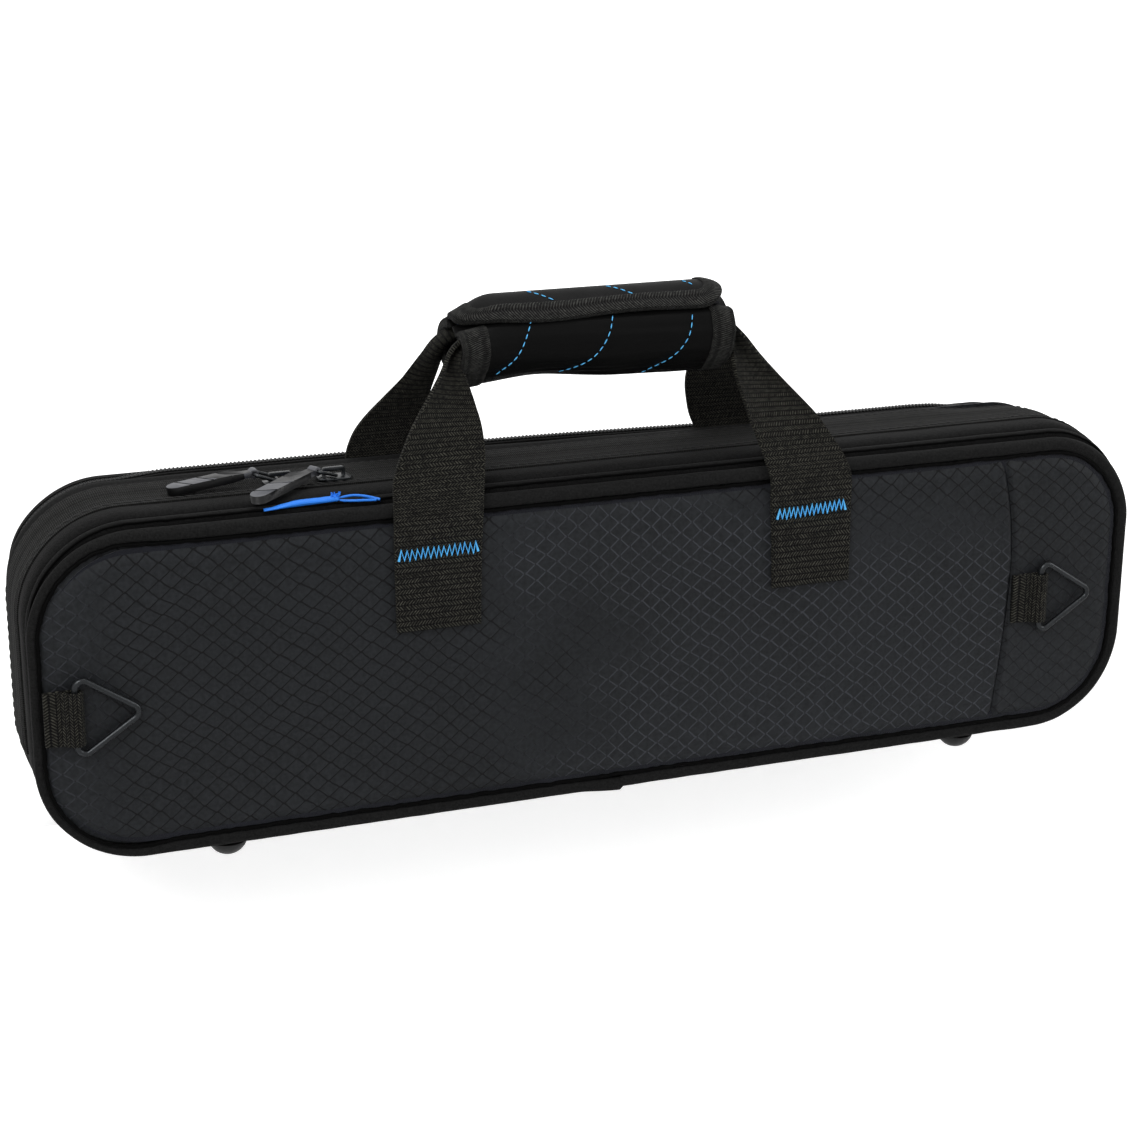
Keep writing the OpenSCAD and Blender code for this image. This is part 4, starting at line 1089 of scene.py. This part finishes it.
for side in ("left", "right"):
    wire = tube("ring" + side.title(), ringPath(ring[side]), ring["wire"], True, 4)
    finish(wire, "ring_" + side, finishes["blackWire"], "gunmetal", "ring_" + side)

# ribbon on top of the lid: a folded end, a frayed gather and two strands round an open eye
ribbon = {"top": 124.0, "tip": (-128.4, 4.6), "gather": (-102.8, 7.4), "end": (-88.4, 3.4)}


gatherX, gatherDepth = ribbon["gather"]


def ribbonFold(u, v):
    # a soft flattened tube that widens from its tip to the gather
    x = ribbon["tip"][0] + (gatherX - ribbon["tip"][0]) * u
    middle = ribbon["tip"][1] + (gatherDepth - ribbon["tip"][1]) * u + 0.25 * sin(5 * u)
    half = 1.3 + 0.35 * ease(0, 0.8, u) + 0.15 * wave(x, v * 3, scale=5)
    high = 0.35 + 0.75 * ease(0, 0.5, u)
    a = 2 * pi * v
    rise = high * (1 + sin(a)) + 0.1 * wave(x, a, scale=3, seed=2)
    return x, middle - half * cos(a), ribbon["top"] + rise


fold = smooth(tidyMesh(surface("ribbonFold", 40, 20, ribbonFold, (20, 8))), 60)
frays = []
for i in range(26):
    a, b = random.uniform(0, 2 * pi), random.uniform(0.2, 1.0)
    start = Vector((gatherX + random.uniform(-0.8, 0.8), gatherDepth, ribbon["top"] + 1.1))
    out = Vector((random.uniform(-0.6, 0.7), cos(a), 0.2 + abs(sin(a)))) * random.uniform(1.3, 2.1)
    path = [tuple(start + out * (k / 4) + Vector((0, 0, -0.25 * (k / 4) ** 2 * b))) for k in range(5)]
    frays.append(tube("fray", path, 0.2, sides=1))
clearSelection()
bpy.ops.mesh.primitive_ico_sphere_add(subdivisions=3, radius=1.0)
gather = bpy.context.object
for vertex in gather.data.vertices:
    c = vertex.co.copy()
    lump = 1 + 0.22 * wave(c.x * 3, c.y * 3, c.z * 3, 1.1, 4)
    vertex.co = ((gatherX + 1.25 * c.x * lump) * mm, (gatherDepth + 1.9 * c.y * lump - middleDepth) * mm,
                 (ribbon["top"] + 1.15 + 1.1 * c.z * lump) * mm)
strands = []
for bow, lift, radius in ((2.3, 1.1, 0.5), (-1.9, 0.4, 0.45)):
    path = []
    for k in range(25):
        t = k / 24
        x = gatherX + (ribbon["end"][0] - gatherX) * t * (1 if bow > 0 else 0.9)
        depth = gatherDepth + (ribbon["end"][1] - gatherDepth) * t + bow * sin(pi * t ** 0.8)
        path.append((x, depth + 0.15 * wave(x, bow, scale=2.5),
                     ribbon["top"] + 0.5 + lift * sin(pi * t) * 0.8))
    strands.append(tube("strand", path, radius))
loop = smooth(joined("ribbonLoop", [fold, gather, *frays, *strands]), 60)
finish(loop, "lid", finishes["blue"], "blue_ribbon", "blue_loop")
print("rings and ribbon made")


weld = 0.000004                    # CAD corners closer than this are one, in metres


def softTray(name, body, *sources):
    # plush over foam: the CAD blocks made one skin, rounded and a little uneven
    copies = []
    for node in sources:
        copies.append(tidyMesh(added(name, nodes[node].data.copy()), weld, False))
    tray = copies[0]
    applyModifier(tray, "BOOLEAN", operation="UNION", solver="EXACT", object=copies[1])
    bpy.data.objects.remove(copies[1])
    applyModifier(tray, "REMESH", mode="VOXEL", voxel_size=1.35 * mm, adaptivity=0)
    applyModifier(tray, "SMOOTH", factor=0.5, iterations=5)
    for vertex in tray.data.vertices:
        x, y, z = vertex.co / mm
        vertex.co.y += 0.3 * wave(x, y, z, 26, 31) * mm
        vertex.co.z += 0.2 * wave(x, y, z, 22, 37) * mm
    finish(smooth(tray, 80), body, finishes["plush"], "plush", *sources)
    print(name, "faces", len(tray.data.polygons))


softTray("lidTray", "lid", "lid_foam", "lid_lining")
softTray("bodyTray", "body", "body_foam", "body_lining")

hinge = {"half": 173.0, "front": 19.2, "rear": 33.8, "height": 4.66, "thick": 0.6}


def hingeShape(u, v):
    depth = hinge["front"] + (hinge["rear"] - hinge["front"]) * v
    fold = 0.1 * exp(-((depth - parting) / 1.2) ** 2)
    return hinge["half"] * (2 * u - 1), depth, hinge["height"] + fold


hingeCloth = surface("hingeCloth", 120, 24, hingeShape, (346, 14.6))
thicken(hingeCloth, hinge["thick"], 0)
hingeCloth.data.materials.clear()
hingeCloth.data.materials.append(finishes["tape"])
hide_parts("lid_hinge_tape", "body_hinge_tape")
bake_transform(smooth(hingeCloth, 50))

wallLine = inset(pocketLine, 0.1)


def wallFace(x, z):
    edge = max(0.0, edgeDistance(wallLine, x, z))
    return 50.15 - 0.25 * ease(3, 12, edge) * (1 + wave(x, z, scale=40, seed=41))


wall = surface("pocketWall", 220, 80, panelShape(wallLine, None, None, wallFace), (413, 119))
thicken(wall, 0.9, 1)
finish(smooth(wall, 60), "body", finishes["ripstop"], "ripstop", "back_wall")
print("trays, hinge and pocket wall made")


def cadCopy(node, name, flat):
    # a CAD piece whose triangles within flat degrees of each other are one face
    obj = pick(added(name, nodes[node].data.copy()))
    bpy.ops.object.mode_set(mode="EDIT")
    bpy.ops.mesh.select_all(action="SELECT")
    bpy.ops.mesh.remove_doubles(threshold=weld)
    bpy.ops.mesh.dissolve_limited(angle_limit=radians(flat))
    bpy.ops.object.mode_set(mode="OBJECT")
    return obj


def dressedCopy(node, name, width, material, slot, body):
    # a CAD piece with its edges eased, so that they catch the light
    obj = bevel(cadCopy(node, name, 1.0), width, 2, 40)
    return finish(smooth(obj, 40), body, material, slot, node)


pull = {"linkX": 1.2, "linkZ": 128.1, "reach": 8.8, "rise": 20.0, "fall": 7.66, "thick": 1.8, "more": 1.0,
    "grooves": (-24.0, -16.6, -9.6), "left": -117.0, "right": -98.0, "yaw": 32.0}


def zipPull(side, yaw):
    # the CAD bar made thicker and narrower, with its own grooves; its flanks and the floors of its grooves
    # take a darker copy of the metal, a painted shade, so that its top reads paler
    rise = radians(pull["rise"])
    hang = (Matrix.Translation(Vector((pull[side] - pull["linkX"], parting - middleDepth, pull["linkZ"])))
            @ Matrix.Rotation(radians(yaw), 4, "Z")
            @ Matrix.Translation(Vector((-pull["reach"] * cos(rise), 0, pull["reach"] * sin(rise))))
            @ Matrix.Rotation(-radians(pull["fall"]), 4, "Y"))
    back = hang.inverted()
    top = pull["thick"] / 2 + pull["more"]
    obj = cadCopy("pull_" + side, "pull" + side.title(), 0.5)
    for vertex in obj.data.vertices:
        local = back @ (vertex.co / mm)
        if pull["thick"] / 2 - 0.5 < local.z < pull["thick"] / 2 and local.x < -8:
            local.z = pull["thick"] / 2
        if local.z > 0 and local.x < -2:
            local.z += pull["more"] * ease(2, 8, -local.x)
        local.y *= 1 - 0.16 * ease(5, 9, -local.x)
        vertex.co = (hang @ local) * mm
    obj.data.update()
    for place in pull["grooves"]:
        clearSelection()
        bpy.ops.mesh.primitive_cube_add(size=1)
        cutter = bpy.context.object
        cutter.matrix_world = (Matrix.Scale(mm, 4) @ hang @ Matrix.Translation(Vector((place, 0, top)))
            @ Matrix.Rotation(radians(35), 4, "Z") @ Matrix.Diagonal(Vector((0.6, 14, 0.8, 1))))
        bpy.context.view_layer.update()
        applyModifier(obj, "BOOLEAN", operation="DIFFERENCE", solver="EXACT", object=cutter)
        bpy.data.objects.remove(cutter)
    finish(obj, "pull_" + side, finishes["gunmetal"], "gunmetal", "pull_" + side)
    # second slot: the darker metal of the painted shade
    obj.data.materials.append(finishes["paintedShadeSide"])
    # flanks and groove floors take the painted shade
    for polygon in obj.data.polygons:
        local = back @ (polygon.center / mm)
        facing = (back.to_3x3() @ polygon.normal).z
        if local.x < -4 and (facing < 0.8 or local.z < top - 0.2 and local.x < -7.5):
            polygon.material_index = 1
    smooth(bevel(obj, 0.18, 2, 40), 35)


zipPull("left", 0.0)
zipPull("right", pull["yaw"])
for side in ("left", "right"):
    dressedCopy("slider_" + side, "slider" + side.title(), 0.22, finishes["blackWire"], "gunmetal",
        "slider_" + side)
dressedCopy("pocket_slider", "pocketSlider", 0.2, finishes["gunmetal"], "gunmetal", "pocket_slider")
dressedCopy("pocket_pull", "pocketPull", 0.2, finishes["gunmetal"], "gunmetal", "pocket_pull")
dressedCopy("front_feet", "frontFeet", 0.5, finishes["foot"], "feet", "lid")
dressedCopy("rear_feet", "rearFeet", 0.5, finishes["foot"], "feet", "body")
for node, finishName in (("link_left", "blackWire"), ("link_right", "blackWire"), ("front_rivets", "rivet"),
        ("rear_rivets", "rivet"), ("lid_shell", "shell"), ("body_shell", "shell"),
        ("lid_zip_teeth", "coil"), ("body_zip_teeth", "coil"), ("front_foam", "plush")):
    nodes[node].data.materials.clear()
    nodes[node].data.materials.append(finishes[finishName])
    smooth(nodes[node], 40)
print("fittings made")

# stage, light and camera
floorPaint = Paint("paleFloor", {"Roughness": 0.9, "Specular IOR Level": 0.0, "Emission Strength": 1.0})
# to the camera the floor turns white with distance, and keeps the object's shadow near it
distance = floorPaint.node("ShaderNodeVectorMath", {"operation": "LENGTH"}, floorPaint.place(), out=1)
away = floorPaint.smoothStep(distance, 240.0, 800.0, 0.45, 1.0)
seen = floorPaint.node("ShaderNodeLightPath", {}, out=0) * away
floorPaint.feed(Base_Color=floorPaint.blend(seen, (0.85, 0.85, 0.85, 1), (0.9, 0.9, 0.9, 1)),
                Emission_Color=floorPaint.blend(seen, (0, 0, 0, 1), (1, 1, 1, 1)))
# the floor steps down below the lid, so that the lid has room to hang open
step = {"edge": 0.022, "drop": 0.125, "reach": 4.0}
floorMesh = bpy.data.meshes.new("floor")
levels = ((step["reach"], 0), (step["edge"], 0), (step["edge"], -step["drop"]),
          (-step["reach"], -step["drop"]))
floorMesh.from_pydata([(side * step["reach"], y, z) for y, z in levels for side in (-1, 1)],
                      [], [(0, 2, 3, 1), (2, 4, 5, 3), (4, 6, 7, 5)])
floor = added("floor", floorMesh)
floor.data.materials.append(floorPaint.material)

world = bpy.data.worlds.new("softWorld")
bpy.context.scene.world = world
world.use_nodes = True
tree = world.node_tree
background = tree.nodes["Background"]
background.inputs["Color"].default_value = (1, 1, 1, 1)
path = tree.nodes.new("ShaderNodeLightPath")
direct = tree.nodes.new("ShaderNodeMath")
direct.operation = "MAXIMUM"
strength = tree.nodes.new("ShaderNodeMapRange")
strength.inputs["To Min"].default_value = 0.35
strength.inputs["To Max"].default_value = 1.0
tree.links.new(path.outputs["Is Camera Ray"], direct.inputs[0])
tree.links.new(path.outputs["Is Glossy Ray"], direct.inputs[1])
tree.links.new(direct.outputs[0], strength.inputs["Value"])
tree.links.new(strength.outputs["Result"], background.inputs["Strength"])


def softLight(name, place, aim, size, power):
    light = bpy.data.lights.new(name, "AREA")
    light.shape = "RECTANGLE"
    light.size, light.size_y, light.energy = size[0], size[1], power
    obj = added(name, light)
    obj.location = place
    obj.rotation_euler = (Vector(aim) - Vector(place)).to_track_quat("-Z", "Y").to_euler()


softLight("keyLight", (-0.9, -1.0, 1.3), (0, 0, 0.07), (0.9, 0.7), 18)
softLight("topLight", (0.1, 0.3, 1.5), (0, 0, 0.07), (1.2, 0.6), 10)
softLight("sideLight", (1.4, -0.7, 0.7), (0, 0, 0.07), (0.6, 0.8), 7)

camera = bpy.data.cameras.new("camera")
camera.lens, camera.sensor_width, camera.sensor_fit = 76.18, 36.0, "AUTO"
camera.clip_start, camera.clip_end = 0.01, 20
cameraObject = added("camera", camera)
view = {"turn": (-20.907, 18.382, 0.419), "place": (-0.30733, -0.77950, 0.35978)}
yaw, pitch, roll = (radians(a) for a in view["turn"])
back = Vector((sin(yaw) * cos(pitch), -cos(yaw) * cos(pitch), sin(pitch)))
right = Vector((cos(yaw), sin(yaw), 0))
up = back.cross(right)
turnedRight = right * cos(roll) + up * sin(roll)
turnedUp = up * cos(roll) - right * sin(roll)
cameraObject.matrix_world = Matrix((turnedRight, turnedUp, back)).transposed().to_4x4()
cameraObject.location = view["place"]
bpy.context.scene.camera = cameraObject
bpy.context.scene.view_settings.view_transform = "Standard"

clearSelection()
print("scene finished")
